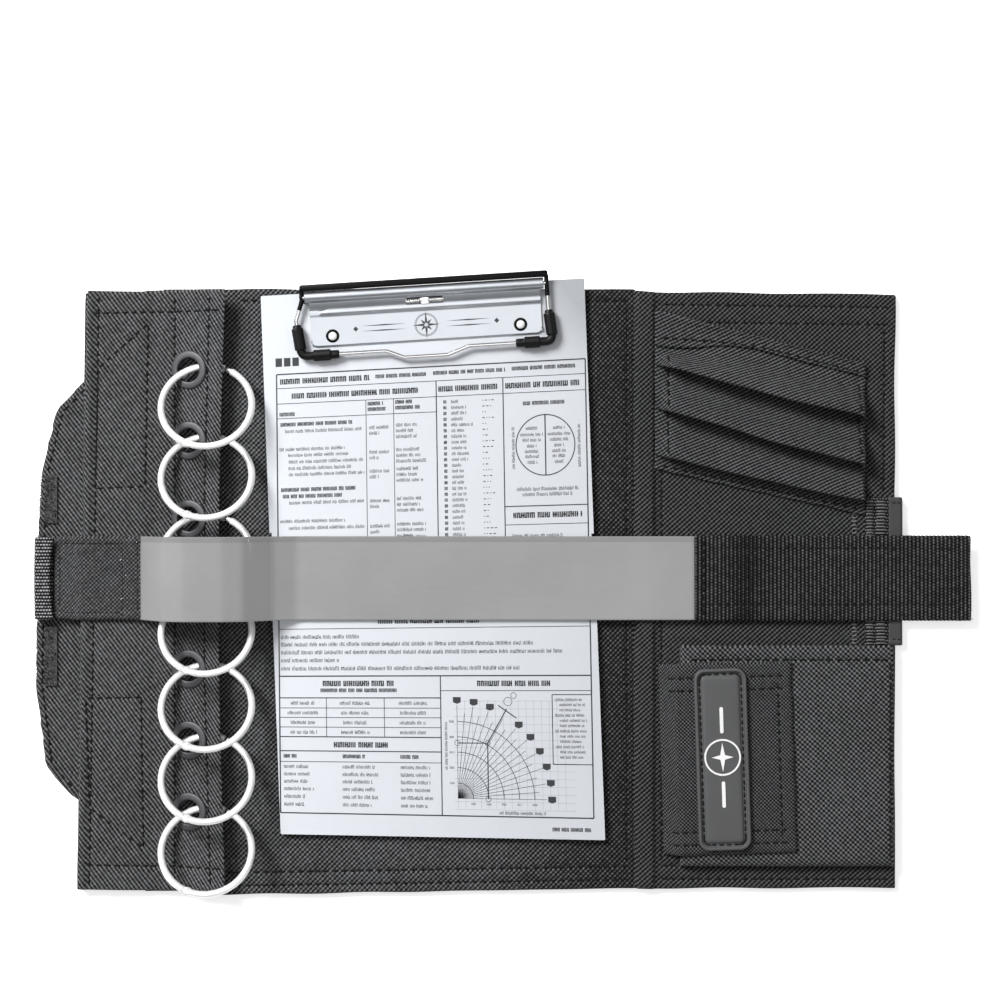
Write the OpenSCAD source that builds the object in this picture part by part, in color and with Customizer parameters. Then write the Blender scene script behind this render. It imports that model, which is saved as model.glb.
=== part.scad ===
// Tri-fold pilot's kneeboard: three stiffened fabric panels, a clipboard plate with a
// wire-bail clip, seven hinged book rings, pen sleeves, a flap pocket and a leg strap.
// Millimetres. +Z up, +Y towards the clip, origin under the middle of the open board.

/* [Panels] */
// Thickness of one outer fabric layer
cloth_t = 1.2; // [0.8:0.1:1.4]
// Thickness of the stiffener boards
board_t = 2; // [1.5:0.1:2.4]
// Left edge of the center panel
center_left = -155.7; // [-157:0.1:-155]
// Right edge of the center panel
center_right = 60.7; // [58:0.1:61]
// Top edge of the center panel
center_top = 135.2; // [130:0.1:137]
// Lowest point of the center panel
center_bottom = -142.8; // [-143:0.1:-140]
// Left edge of the right panel's stiff part
right_left = 70.8; // [70.5:0.1:72]
// Right edge of the right panel
right_right = 180.8; // [178:0.1:182]
// Right edge of the left panel's stiff part
left_right = -164.3; // [-166:0.1:-164.3]
// Top surface of the left panel
left_top_z = 6.2; // [6:0.1:6.4]

/* [Book rings] */
// Radius of the ring wire's centreline
ring_r = 20.65; // [20:0.05:21]
// Radius of the ring wire
ring_wire_r = 1.45; // [1.2:0.05:1.5]
// Tilt of the rings from flat
ring_tilt = 26; // [25:1:35]
// Slope of the ring flap, rising to the right
flap_slope = 20; // [18:1:22]
// Radius of the hole in a grommet
grommet_bore_r = 5.6; // [5.5:0.1:5.8]
// Outer radius of a grommet
grommet_r = 8.4; // [8:0.1:8.6]

/* [Clipboard] */
// Thickness of the plate
plate_t = 1.2; // [1:0.1:1.5]
// Length of the clip's barrel
barrel_l = 109.6; // [105:0.1:110]
// Outer radius of the barrel
barrel_r = 2.6; // [2.5:0.05:2.7]
// Radius of the bail wire
bail_wire_r = 0.95; // [0.8:0.05:1]
// Outer radius of the rubber sleeves on the bail
sleeve_rubber_r = 2.75; // [2.5:0.05:2.8]

/* [Strap] */
// Width of the leg strap
strap_w = 37.7; // [36:0.1:38]
// Middle of the strap along Y
strap_y = 2.75; // [2:0.05:3]
// Right end of the strap
strap_right = 214.6; // [210:0.1:215]

/* [Right panel's holders] */
// Slant of the pen sleeves
pen_slant = 14.2; // [13:0.1:15]
// Height of a pen sleeve's lip above the panel
pen_lip_h = 7; // [6:0.1:7]
// Inner depth of the lower pocket
pocket_depth = 4.5; // [4.4:0.1:4.8]

/* [Hidden] */
RINGS = 7;
$fn = 64;

// Panel levels
board_z = cloth_t;
front_z = board_z + board_t;
panel_top = front_z + cloth_t;
inset = 4;
gap = 0.3;

// Left panel levels
back_flap_t = 1.6;
left_cover_t = 1;
left_board_z = back_flap_t + left_cover_t;
left_cover_z = left_top_z - left_cover_t;
left_panel_top = 133.9;
left_panel_bottom = -140.2;
left_edge_top = -190.2;
left_edge_bottom = -194.4;
back_flap_edge = [
    [left_right, 116.5], [-193.7, 91.7], [-204.7, 80.1], [-211.6, 51.6], [-213.4, 19.9],
    [-214.3, -47.4], [-209.6, -84.3], [-199, -96.5], [left_right, -121.3]];

// Ring flap and rings
flap_t = 1;
flap_fold_x = -150;
flap_free_x = -127.4;
flap_mid_z = left_top_z - flap_t / 2;
grommet_x = -143.2;
grommet_z = flap_mid_z + (grommet_x - flap_fold_x) * tan(flap_slope);
grommet_ys = [98.3, 65.9, 29.9, -4.6, -38.9, -71.6, -104.4];
grommet_rim = 0.6;
ring_off_x = 8.7;
ring_off_y = sqrt(ring_r * ring_r - ring_off_x * ring_off_x);
latch_angle = 67.5;
latch_gap = 0.4;
lap_gap = 0.05;
lap_relief_r = ring_wire_r + 0.4;
hinge_pin_r = 0.5;
hinge_bore_r = 0.56;
lap_h = 1.15;

// Clipboard
pad_t = 1.8;
plate_z = panel_top + pad_t;
plate_top_z = plate_z + plate_t;
plate_corners = [[-110.6, 132.2], [-101.4, -114.8], [47.6, -117.6], [38, 140.4]];
plate_corner_r = 0.6;
// Recess in the plate's upper edge behind the clip's barrel, in the clip's own frame
plate_notch_half_w = 57.2;
plate_notch_foot = -2.5;
clip_at = [-35.5, 134.6];
clip_turn = 3.55;
barrel_z = plate_top_z + sleeve_rubber_r + gap;
barrel_bore_r = bail_wire_r + 0.05;
clip_sheet_t = 0.9;
clip_half_w = 53;
clip_foot = -22.9;
rivet_at = [43.2, -18.1];
rivet_r = 3;
rivet_shank_r = 2.1;
spring_half_l = 8.5;
spring_v = [-6.1, -2.8];
bail_x = barrel_l / 2 + 1.4;
bail_foot = -26.7;
bail_bend = 2.4;
bail_line = curved([
    [-bail_x, 3.7], [-bail_x, -1.5], [-59.4, -10.5], [-57.7, bail_foot], [-19, bail_foot],
    [-11, bail_foot - 3.4], [9, bail_foot - 3.4], [19, bail_foot], [57.5, bail_foot],
    [bail_x, -11], [bail_x, 3.7]], bail_bend);
sleeve_top = -12.4;
sleeve_end = 40.5;
lever_v = [2.8, 5.2];
lever_dz = [-0.2, 2.2];

// Strap
strap_low = strap_y - strap_w / 2;
strap_high = strap_y + strap_w / 2;
band_t = 1.2;
band_ends = [-165.8, 88.6];
band_line = [
    [-165.8, 7.3], [-160.5, 15], [-153, 26.5], [-144, 30.4], [-126, 30.4], [-117, 27],
    [-104, 13.5], [-94, 8.4], [40, 8.4], [58, 8], [88.6, 7]];
tail_z = 6.4;
tail_t = 2;
keeper_t = 1.6;
keeper = [167.6, 178.2];
keeper_y = [-28.0, 39.6];
loop_edge = -214.6;

// Right panel's holders
pen_x = [79.5, 163];
pen_seam_x = [71, 167.2];
pen_origin_x = 70.2;
pen_origin_y = 125;
pen_cloth = 1.2;
pen_lips = [23.4, 42.6, 63.6];
pen_heel = 2;
pocket_x = [82.1, 180.2];
pocket_y = [-129.7, -28.4];
wall = 1.2;
pocket_z = panel_top + pocket_depth;
flap_lean = 1.8;
flap_w = 60;
flap_h = 87;
flap_hinge = [75.2, -124.2];
badge = [24, 83];
badge_at = [27.2, 43.4];
badge_r = 5;
badge_t = 2.2;

module slab(points, z0, z1) {
    translate([0, 0, z0]) linear_extrude(z1 - z0) polygon(points);
}

module across(profile, y0, y1) {
    translate([0, y1, 0]) rotate([90, 0, 0]) linear_extrude(y1 - y0) polygon(profile);
}

module along(profile, x0, x1) {
    translate([x0, 0, 0]) rotate([90, 0, 90]) linear_extrude(x1 - x0) polygon(profile);
}

module block(low, high) {
    translate(low) cube(high - low);
}

module rounded_slab(size, r, t) {
    for (x = [r, size[0] - r], y = [r, size[1] - r]) translate([x, y, 0]) cylinder(h = t, r = r);
    translate([r, 0, 0]) cube([size[0] - 2 * r, size[1], t]);
    translate([0, r, 0]) cube([size[0], size[1] - 2 * r, t]);
}

function unit(v) = v / norm(v);

// The flat path with each inner corner replaced by a short curve that starts bend before it
function curved(points, bend) =
    let (last = len(points) - 1, steps = 5)
    concat([points[0]],
        [for (i = [1:last - 1])
            let (p = points[i], from = p - unit(p - points[i - 1]) * bend,
                 to = p + unit(points[i + 1] - p) * bend)
            for (k = [0:steps]) let (t = k / steps)
                from * (1 - t) * (1 - t) + p * 2 * t * (1 - t) + to * t * t],
        [points[last]]);

// A round wire of radius r whose centreline is the flat path
module wire(points, r) {
    sides = 16;
    last = len(points) - 1;
    runs = [for (i = [0:last - 1]) unit(points[i + 1] - points[i])];
    rings = [for (i = [0:last])
        let (before = runs[max(i - 1, 0)], mean = unit(before + runs[min(i, last - 1)]),
             across = [-mean[1], mean[0]] / (before * mean))
        for (k = [0:sides - 1]) let (t = 360 * k / sides)
            [points[i][0] + across[0] * r * cos(t), points[i][1] + across[1] * r * cos(t), r * sin(t)]];
    walls = [for (i = [0:last - 1], k = [0:sides - 1])
        let (a = i * sides + k, b = i * sides + (k + 1) % sides)
            [a, b, b + sides, a + sides]];
    caps = [[for (k = [sides - 1:-1:0]) k], [for (k = [0:sides - 1]) last * sides + k]];
    polyhedron(points = rings, faces = concat(walls, caps), convexity = 6);
}

// The line of points raised by t, closed into a band's profile
function thick_line(points, t) =
    concat(points, [for (i = [len(points) - 1:-1:0]) points[i] + [0, t]]);

center_outline = [
    [center_left, center_top], [center_left, -135], [-147.6, -138.6], [-141.9, center_bottom],
    [center_right, -139.6], [center_right, center_top]];
center_inner = [
    [-148, center_top - inset], [-148, -132], [-138, center_bottom + inset],
    [center_right - inset, -139.6 + inset], [center_right - inset, center_top - inset]];
right_outline = [
    [right_left, 133.9], [right_left, -139.6], [right_right, -139.6], [right_right, 132.4]];
right_inner = [
    [right_left + 1, 133.9 - inset], [right_left + 1, -139.6 + inset],
    [right_right - inset, -139.6 + inset], [right_right - inset, 132.4 - inset]];

module center_back_cover() { color("dimgray") slab(center_outline, 0, board_z); }
module center_board() { color("tan") slab(center_inner, board_z, front_z); }
module center_front_cover() { color("dimgray") slab(center_outline, front_z, panel_top); }

module plate_pads() {
    color("black") for (x = [-92, 2]) block([x, -100, panel_top], [x + 26, 100, plate_z]);
}

module clip_frame() {
    translate([clip_at[0], clip_at[1], 0]) rotate([0, 0, clip_turn]) children();
}

module clipboard_plate() {
    color("whitesmoke") difference() {
        translate([0, 0, plate_z]) linear_extrude(plate_t)
            offset(r = plate_corner_r) offset(delta = -plate_corner_r) difference() {
                polygon(plate_corners);
                clip_frame() translate([-plate_notch_half_w, plate_notch_foot])
                    square([2 * plate_notch_half_w, 20]);
            }
        plate_slot(-105.6, 5.6);
        plate_slot(42.6, 5.2);
        clip_frame() rivet_places() translate([0, 0, plate_z - 1])
            cylinder(h = plate_t + 2, r = rivet_shank_r);
    }
}

// A strap slot in the plate, standing along the plate's side edges
module plate_slot(x, y) {
    slot_w = 1.4;
    slot_l = 36;
    translate([x, y - slot_l / 2, plate_z - 1]) rotate([0, 0, 2.1])
        cube([slot_w, slot_l, plate_t + 2]);
}

module rivet_places() {
    for (s = [-1, 1]) translate([s * rivet_at[0], rivet_at[1], 0]) children();
}

module clip_body() {
    sheet_top = plate_top_z + clip_sheet_t;
    color("silver") clip_frame() difference() {
        union() {
            along([[clip_foot, plate_top_z], [clip_foot, sheet_top], [-8.6, sheet_top],
                   [-1.6, barrel_z + 2], [-1.6, barrel_z - 1.4], [-3.2, barrel_z - 1.4],
                   [-7.6, plate_top_z]], -clip_half_w, clip_half_w);
            translate([-barrel_l / 2, 0, barrel_z]) rotate([0, 90, 0])
                cylinder(h = barrel_l, r = barrel_r);
        }
        translate([-barrel_l, 0, barrel_z]) rotate([0, 90, 0])
            cylinder(h = 2 * barrel_l, r = barrel_bore_r);
        block([-spring_half_l, spring_v[0], sheet_top],
              [spring_half_l, spring_v[1], barrel_z + barrel_r]);
        rivet_places() translate([0, 0, plate_z]) cylinder(h = 5, r = rivet_shank_r);
    }
}

module clip_rivets() {
    shank_top = plate_top_z + clip_sheet_t;
    color("silver") clip_frame() rivet_places() {
        translate([0, 0, plate_z - 0.6]) cylinder(h = 0.6, r = rivet_r);
        translate([0, 0, plate_z]) cylinder(h = shank_top - plate_z, r = rivet_shank_r);
        translate([0, 0, shank_top]) cylinder(h = 0.7, r = rivet_r);
    }
}

// Two short coils in the clip's window, either side of the tab that holds them
module clip_spring() {
    coil_r = 0.45;
    turn_r = 1.3;
    tab = 2.5;
    foot_z = plate_top_z + clip_sheet_t + 0.1;
    color("gainsboro") clip_frame() translate([0, (spring_v[0] + spring_v[1]) / 2, foot_z]) {
        for (s = [-1, 1], i = [0:5])
            translate([s * (tab + coil_r + 0.1 + i * 2.2 * coil_r), 0, turn_r]) rotate([0, 90, 0])
                difference() {
                    cylinder(h = 2 * coil_r, r = turn_r, center = true);
                    cylinder(h = 4 * coil_r, r = turn_r - 2 * coil_r + 0.3, center = true);
                }
        block([-tab, -1.3, 0], [tab, 1.3, 1.8]);
    }
}

module bail_wire() {
    color("silver") clip_frame() translate([0, 0, barrel_z]) wire(bail_line, bail_wire_r);
}

// The straight part of the wire, inside the barrel
module bail_pin() {
    half_l = bail_x - bail_wire_r;
    color("silver") clip_frame() translate([-half_l, 0, barrel_z]) rotate([0, 90, 0])
        cylinder(h = 2 * half_l, r = bail_wire_r);
}

module bail_lever() {
    color("black") clip_frame() translate([0, 0, barrel_z])
        block([-bail_x, lever_v[0], lever_dz[0]], [bail_x, lever_v[1], lever_dz[1]]);
}

// One rubber corner: from the side arm, round the corner, to its inner end
module bail_sleeve(side_arm, corner, inner_end) {
    wire(curved([side_arm, corner, inner_end], bail_bend), sleeve_rubber_r);
}

module bail_sleeves() {
    color("dimgray") clip_frame() translate([0, 0, barrel_z]) {
        bail_sleeve([-59.2, sleeve_top], [-57.7, bail_foot], [-sleeve_end, bail_foot]);
        bail_sleeve([bail_x + 0.1, sleeve_top], [57.5, bail_foot], [sleeve_end, bail_foot]);
    }
}

module at_grommet(y) {
    translate([grommet_x, y, grommet_z]) rotate([0, -flap_slope, 0]) children();
}

module ring_flap() {
    lip = [cos(flap_slope), sin(flap_slope)];
    up = [-lip[1], lip[0]] * flap_t / 2;
    root = [flap_fold_x, flap_mid_z];
    tip = root + lip * (flap_free_x - flap_fold_x) / lip[0];
    color("gray") difference() {
        union() {
            across([root - up, tip - up, tip + up, root + up], left_panel_bottom, left_panel_top);
            block([center_left + 0.3, left_panel_bottom, panel_top],
                  [flap_fold_x + 0.2, left_panel_top, left_top_z]);
        }
        for (y = grommet_ys) at_grommet(y)
            cylinder(h = 12, r = grommet_bore_r + grommet_rim, center = true);
    }
}

// One face of the grommets: side 1 is the front, -1 the back washer
module grommet_half(side) {
    half_t = flap_t / 2;
    for (y = grommet_ys) at_grommet(y) mirror([0, 0, side > 0 ? 0 : 1]) difference() {
        union() {
            cylinder(h = half_t, r = grommet_bore_r + grommet_rim);
            translate([0, 0, half_t]) cylinder(h = 0.35, r = grommet_r);
        }
        translate([0, 0, -1]) cylinder(h = 4, r = grommet_bore_r);
    }
}

module ring_grommets() { color("slategray") grommet_half(1); }
module grommet_washers() { color("slategray") grommet_half(-1); }

module ring_frame(i) {
    translate([grommet_x, grommet_ys[i - 1], grommet_z]) rotate([-ring_tilt, 0, 0])
        translate([ring_off_x, -ring_off_y, 0]) children();
}

module ring_arc(from, sweep) {
    rotate([0, 0, from]) rotate_extrude(angle = sweep, $fn = 96)
        translate([ring_r, 0]) circle(r = ring_wire_r, $fn = 24);
}

module at_ring_pin() {
    rotate([0, 0, latch_angle + 180]) translate([ring_r, 0, 0]) children();
}

module ring_half(i) {
    color("silver") ring_frame(i) {
        difference() {
            ring_arc(latch_angle + latch_gap, 180 - latch_gap);
            at_ring_pin() translate([0, 0, -lap_gap]) cylinder(h = 3, r = lap_relief_r);
        }
        at_ring_pin() translate([0, 0, -lap_h]) cylinder(h = lap_h - lap_gap, r = ring_wire_r);
        at_ring_pin() translate([0, 0, -lap_h / 2]) cylinder(h = lap_h + lap_h / 2, r = hinge_pin_r);
    }
}

module ring_gate(i) {
    color("silver") ring_frame(i) difference() {
        union() {
            difference() {
                ring_arc(latch_angle + 180, 180 - latch_gap);
                at_ring_pin() translate([0, 0, lap_gap - 3]) cylinder(h = 3, r = lap_relief_r);
            }
            at_ring_pin() translate([0, 0, lap_gap]) cylinder(h = lap_h - lap_gap, r = ring_wire_r);
        }
        at_ring_pin() cylinder(h = 6, r = hinge_bore_r, center = true);
    }
}

module left_spine() {
    color("dimgray")
        block([left_right, left_panel_bottom, left_cover_z],
              [center_left + 0.3, left_panel_top, left_top_z]);
}

module right_spine() {
    color("dimgray")
        block([center_right, -139.6, front_z], [right_left, 133.9, panel_top]);
}

module strap_band() {
    color("lightgray", 0.6) across(thick_line(band_line, band_t), strap_low, strap_high);
}

module left_back_flap() { color("dimgray") slab(back_flap_edge, 0, back_flap_t); }

module left_hook_strip() {
    strip_t = 1.2;
    color("black") for (y = [[28, 50], [-47, -20]])
        block([-210.6, y[0], back_flap_t], [-205, y[1], back_flap_t + strip_t]);
}

left_outline = [
    [left_right, left_panel_top], [left_edge_top, left_panel_top],
    [left_edge_bottom, left_panel_bottom], [left_right, left_panel_bottom]];
left_inner = [
    [left_right, left_panel_top - inset], [left_edge_top + inset, left_panel_top - inset],
    [left_edge_bottom + inset, left_panel_bottom + inset], [left_right, left_panel_bottom + inset]];

module left_back_cover() { color("dimgray") slab(left_outline, back_flap_t, left_board_z); }
module left_board() { color("tan") slab(left_inner, left_board_z, left_cover_z); }

module left_front_cover() {
    color("gray") {
        slab(left_outline, left_cover_z, left_top_z);
        difference() {
            slab(left_outline, left_board_z, left_cover_z);
            slab(left_inner, left_board_z - 1, left_cover_z + 1);
        }
    }
}

// Folded webbing sewn to the back flap's edge: a bridge that the strap's hook goes through
module left_webbing_loop() {
    web = 1.4;
    top = 8.4;
    color("dimgray") across([
        [loop_edge, back_flap_t], [loop_edge, top], [-206.8, top], [-206.8, top - web],
        [loop_edge + web, top - web], [loop_edge + web, back_flap_t]], strap_low + 0.3, strap_high - 0.3);
}

module strap_end() {
    t = 2.6;
    color("dimgray") across([
        [-205.4, 3], [-197, 3.4], [-192, left_top_z + 0.1], [band_ends[0], left_top_z + 0.1],
        [band_ends[0], left_top_z + t], [-193.4, left_top_z + t], [-198.6, 3.2 + t],
        [-205.4, 2.6 + t]], strap_low, strap_high);
}

module right_back_cover() { color("dimgray") slab(right_outline, 0, board_z); }
module right_board() { color("tan") slab(right_inner, board_z, front_z); }
module right_front_cover() { color("dimgray") slab(right_outline, front_z, panel_top); }

module pen_frame() {
    translate([pen_origin_x, pen_origin_y, 0]) rotate([0, 0, -pen_slant]) children();
}

// One louvre of the pen sleeves: sewn down along its top edge, lifted at its lip
module pen_sleeve(n) {
    start = n == 1 ? 0 : pen_heel - pen_lips[n - 2];
    lip = -pen_lips[n - 1];
    intersection() {
        pen_frame() along([
            [start, panel_top], [start, panel_top + pen_cloth],
            [lip, panel_top + pen_lip_h + pen_cloth], [lip, panel_top + pen_lip_h]], -30, 130);
        block([pen_x[0], 20, 0], [pen_x[1], 130, 30]);
    }
}

module pen_sleeve_1() { color("dimgray") pen_sleeve(1); }
module pen_sleeve_2() { color("dimgray") pen_sleeve(2); }
module pen_sleeve_3() { color("dimgray") pen_sleeve(3); }

// The flat seams that hold the sleeves' two ends and the hem below the last lip
module pen_sleeve_seams() {
    seam_t = 1.2;
    foot = -pen_lips[2];
    color("dimgray") intersection() {
        pen_frame() block([-30, foot - 4, panel_top], [130, 0, panel_top + seam_t]);
        union() {
            block([pen_seam_x[0], 20, 0], [pen_x[0], 130, 30]);
            block([pen_x[1], 20, 0], [pen_seam_x[1], 130, 30]);
        }
    }
}

module pocket_front() {
    color("dimgray") block([pocket_x[0], pocket_y[0], pocket_z],
                           [pocket_x[1], pocket_y[1], pocket_z + cloth_t]);
}

module pocket_gusset() {
    color("dimgray") {
        block([pocket_x[0], pocket_y[0] + wall, panel_top],
              [pocket_x[0] + wall, pocket_y[1], pocket_z]);
        block([pocket_x[1] - wall, pocket_y[0] + wall, panel_top],
              [pocket_x[1], pocket_y[1], pocket_z]);
        block([pocket_x[0], pocket_y[0], panel_top], [pocket_x[1], pocket_y[0] + wall, pocket_z]);
    }
}

module strap_keeper() {
    color("dimgray") block([keeper[0], keeper_y[0], panel_top],
                           [keeper[1], keeper_y[1], panel_top + keeper_t]);
}

// Smooth tape folded round the panel's right edge beside the keeper
module keeper_tape() {
    tape_right = 184.7;
    color("dimgray") {
        block([keeper[1], keeper_y[0], panel_top], [tape_right, keeper_y[1], panel_top + keeper_t]);
        block([right_right, keeper_y[0], 0], [tape_right, keeper_y[1], panel_top]);
    }
}

module tail_loop_pad() {
    color("black") block([104, strap_low + 2, panel_top], [158, strap_high - 2, panel_top + 0.9]);
}

module tail_hook_pad() {
    color("black") block([104, strap_low + 2, panel_top + 1.1], [158, strap_high - 2, tail_z]);
}

module strap_tail() {
    hem = 5;
    color("dimgray") {
        block([band_ends[1], strap_low, tail_z], [strap_right, strap_high, tail_z + tail_t]);
        block([band_ends[1], strap_low, tail_z + tail_t],
              [band_ends[1] + hem, strap_high, tail_z + 1.5 * tail_t]);
        block([strap_right - hem, strap_low, tail_z - tail_t / 2],
              [strap_right, strap_high, tail_z]);
    }
}

module flap_frame() {
    translate([flap_hinge[0], flap_hinge[1], 0]) rotate([0, 0, flap_lean]) children();
}

module pocket_flap() {
    t = 1.5;
    low = panel_top + 0.4;
    high = pocket_z + cloth_t + gap;
    color("dimgray") flap_frame() across([
        [0, low], [1, low], [6.3, high], [flap_w, high], [flap_w, high + t], [5.7, high + t],
        [0.4, low + t], [0, low + t]], 0, flap_h);
}

module flap_badge() {
    base = pocket_z + cloth_t + gap + 1.5;
    color("slategray") flap_frame()
        translate([badge_at[0] - badge[0] / 2, badge_at[1] - badge[1] / 2, base]) difference() {
            rounded_slab(badge, badge_r, badge_t);
            translate([1.6, 1.6, 1.6]) rounded_slab(badge - [3.2, 3.2], badge_r - 1.6, badge_t);
        }
}

center_back_cover();
center_board();
center_front_cover();
plate_pads();
clipboard_plate();
clip_body();
clip_rivets();
clip_spring();
bail_wire();
bail_pin();
bail_lever();
bail_sleeves();
ring_flap();
ring_grommets();
grommet_washers();
left_spine();
right_spine();
strap_band();
left_back_flap();
left_hook_strip();
left_back_cover();
left_board();
left_front_cover();
left_webbing_loop();
strap_end();
right_back_cover();
right_board();
right_front_cover();
pen_sleeve_1();
pen_sleeve_2();
pen_sleeve_3();
pen_sleeve_seams();
pocket_front();
pocket_gusset();
strap_keeper();
keeper_tape();
tail_loop_pad();
pocket_flap();
flap_badge();
strap_tail();
tail_hook_pad();
for (i = [1:RINGS]) {
    ring_half(i);
    ring_gate(i);
}
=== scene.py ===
"""Looks of the tri-fold kneeboard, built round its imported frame. Lengths are in millimetres."""
import math

import bpy
import numpy as np
from mathutils import Matrix, Vector


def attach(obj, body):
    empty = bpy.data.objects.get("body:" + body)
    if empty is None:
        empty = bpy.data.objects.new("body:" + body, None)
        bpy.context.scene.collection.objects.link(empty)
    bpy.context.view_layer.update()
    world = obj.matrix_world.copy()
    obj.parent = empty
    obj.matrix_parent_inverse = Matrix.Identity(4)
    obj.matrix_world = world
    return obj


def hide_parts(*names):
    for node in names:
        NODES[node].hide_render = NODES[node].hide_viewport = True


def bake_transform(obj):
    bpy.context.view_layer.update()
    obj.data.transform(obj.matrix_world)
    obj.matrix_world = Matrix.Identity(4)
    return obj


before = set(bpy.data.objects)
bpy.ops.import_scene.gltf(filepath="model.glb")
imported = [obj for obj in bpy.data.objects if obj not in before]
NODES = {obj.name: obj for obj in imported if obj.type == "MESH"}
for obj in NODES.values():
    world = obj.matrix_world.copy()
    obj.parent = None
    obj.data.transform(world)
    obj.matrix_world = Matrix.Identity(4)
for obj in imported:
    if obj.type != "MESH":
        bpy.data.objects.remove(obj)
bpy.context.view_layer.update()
MM = 0.001

# Levels and lines of the frame
PANEL_TOP, LEFT_TOP, PLATE_TOP = 4.4, 6.2, 7.4
SPINE_LEFT, SPINE_RIGHT, FOLD_Z = (-164.3, -155.4), (60.7, 70.8), 5
LEFT_EDGE, LEFT_LOW, LEFT_HIGH = -190.2, -140.2, 133.9
RING_FLAP_X = -150
SLEEVE_X, SLEEVE_LONG = 71, 96
STRAP, STRAP_MID = (-16.1, 21.6), 2.75
GROMMET_X, GROMMET_Z, FLAP_SLOPE = -143.2, 8.175, math.radians(20)
GROMMET_Y = (98.3, 65.9, 29.9, -4.6, -38.9, -71.6, -104.4)
RING_R, WIRE_R, RING_TILT = 20.65, 1.45, math.radians(26)
CLIP = Matrix.Translation((-35.5, 134.6, 0)) @ Matrix.Rotation(math.radians(3.55), 4, "Z")
BARREL_Z, BARREL_R = 10.45, 2.6
UP = Vector((0, 0, 1))

# ---------------------------------------------------------------- materials
SOCKETS = {"color": "Base Color", "metal": "Metallic", "rough": "Roughness", "sheen": "Sheen Weight",
           "sheen_rough": "Sheen Roughness", "coat": "Coat Weight", "alpha": "Alpha",
           "specular": "Specular IOR Level", "glow": "Emission Strength"}


class Value:
    """A node's output, which can be added to, taken from and scaled like a number."""

    def __init__(self, paint, socket):
        self.paint, self.socket = paint, socket

    def __add__(self, other):
        return self.paint.math("ADD", self, other)

    def __sub__(self, other):
        return self.paint.math("SUBTRACT", self, other)

    def __mul__(self, other):
        return self.paint.math("MULTIPLY", self, other)


class Paint:
    """A procedural material: a shader and short calls for the nodes that feed it."""

    def __init__(self, name, **fixed):
        self.mat = bpy.data.materials.new(name)
        self.mat.use_nodes = True
        self.tree = self.mat.node_tree
        self.tree.nodes.clear()
        self.shader = self.node("BsdfPrincipled")
        self.tree.links.new(self.shader.outputs[0], self.node("OutputMaterial").inputs[0])
        for key, value in fixed.items():
            self.shader.inputs[SOCKETS[key]].default_value = value
        self.where = self.node("TexCoord").outputs["Object"]
        self.x, self.y, self.z = self.split(self.where)

    def node(self, kind):
        return self.tree.nodes.new("ShaderNode" + kind)

    def split(self, socket):
        node = self.node("SeparateXYZ")
        self.tree.links.new(socket, node.inputs[0])
        return [Value(self, out) for out in node.outputs]

    def put(self, socket, value):
        if isinstance(value, Value):
            self.tree.links.new(value.socket, socket)
        else:
            socket.default_value = value

    def math(self, op, *values):
        node = self.node("Math")
        node.operation = op
        for socket, value in zip(node.inputs, values):
            self.put(socket, value)
        return Value(self, node.outputs[0])

    def noise(self, size, detail=3, stretch=(1, 1, 1), rough=0.55):
        """Noise from 0 to 1 whose lumps are size wide, longer along an axis with a small stretch."""
        scale = self.node("VectorMath")
        scale.operation = "MULTIPLY"
        self.tree.links.new(self.where, scale.inputs[0])
        scale.inputs[1].default_value = [s / (size * MM) for s in stretch]
        node = self.node("TexNoise")
        self.tree.links.new(scale.outputs[0], node.inputs["Vector"])
        for key, value in (("Scale", 1), ("Detail", detail), ("Roughness", rough)):
            node.inputs[key].default_value = value
        return Value(self, node.outputs["Fac"])

    def uneven(self, size, amount, detail=4):
        """Noise round 0, amount from its lowest to its highest."""
        return (self.noise(size, detail) - 0.5) * amount

    def cell_noise(self, a, b):
        """A value from 0 to 1 that is the same all over one cell of a and b."""
        join = self.node("CombineXYZ")
        self.put(join.inputs[0], self.math("FLOOR", a))
        self.put(join.inputs[1], self.math("FLOOR", b))
        node = self.node("TexWhiteNoise")
        node.noise_dimensions = "2D"
        self.tree.links.new(join.outputs[0], node.inputs["Vector"])
        return Value(self, node.outputs["Value"])

    def color(self, value, *stops):
        """Colours the surface by a ramp from value."""
        node = self.node("ValToRGB")
        self.put(node.inputs[0], value)
        bar = node.color_ramp.elements
        while len(bar) < len(stops):
            bar.new(0.5)
        for element, (place, color) in zip(bar, stops):
            element.position, element.color = place, (*color, 1)
        self.tree.links.new(node.outputs[0], self.shader.inputs["Base Color"])

    def rough(self, value):
        self.put(self.shader.inputs["Roughness"], value)

    def bump(self, height, depth, strength=0.7):
        node = self.node("Bump")
        node.inputs["Strength"].default_value = strength
        node.inputs["Distance"].default_value = depth * MM
        self.put(node.inputs["Height"], height)
        self.tree.links.new(node.outputs[0], self.shader.inputs["Normal"])


def scaled(color, k):
    return tuple(min(1, c * k) for c in color)


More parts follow.
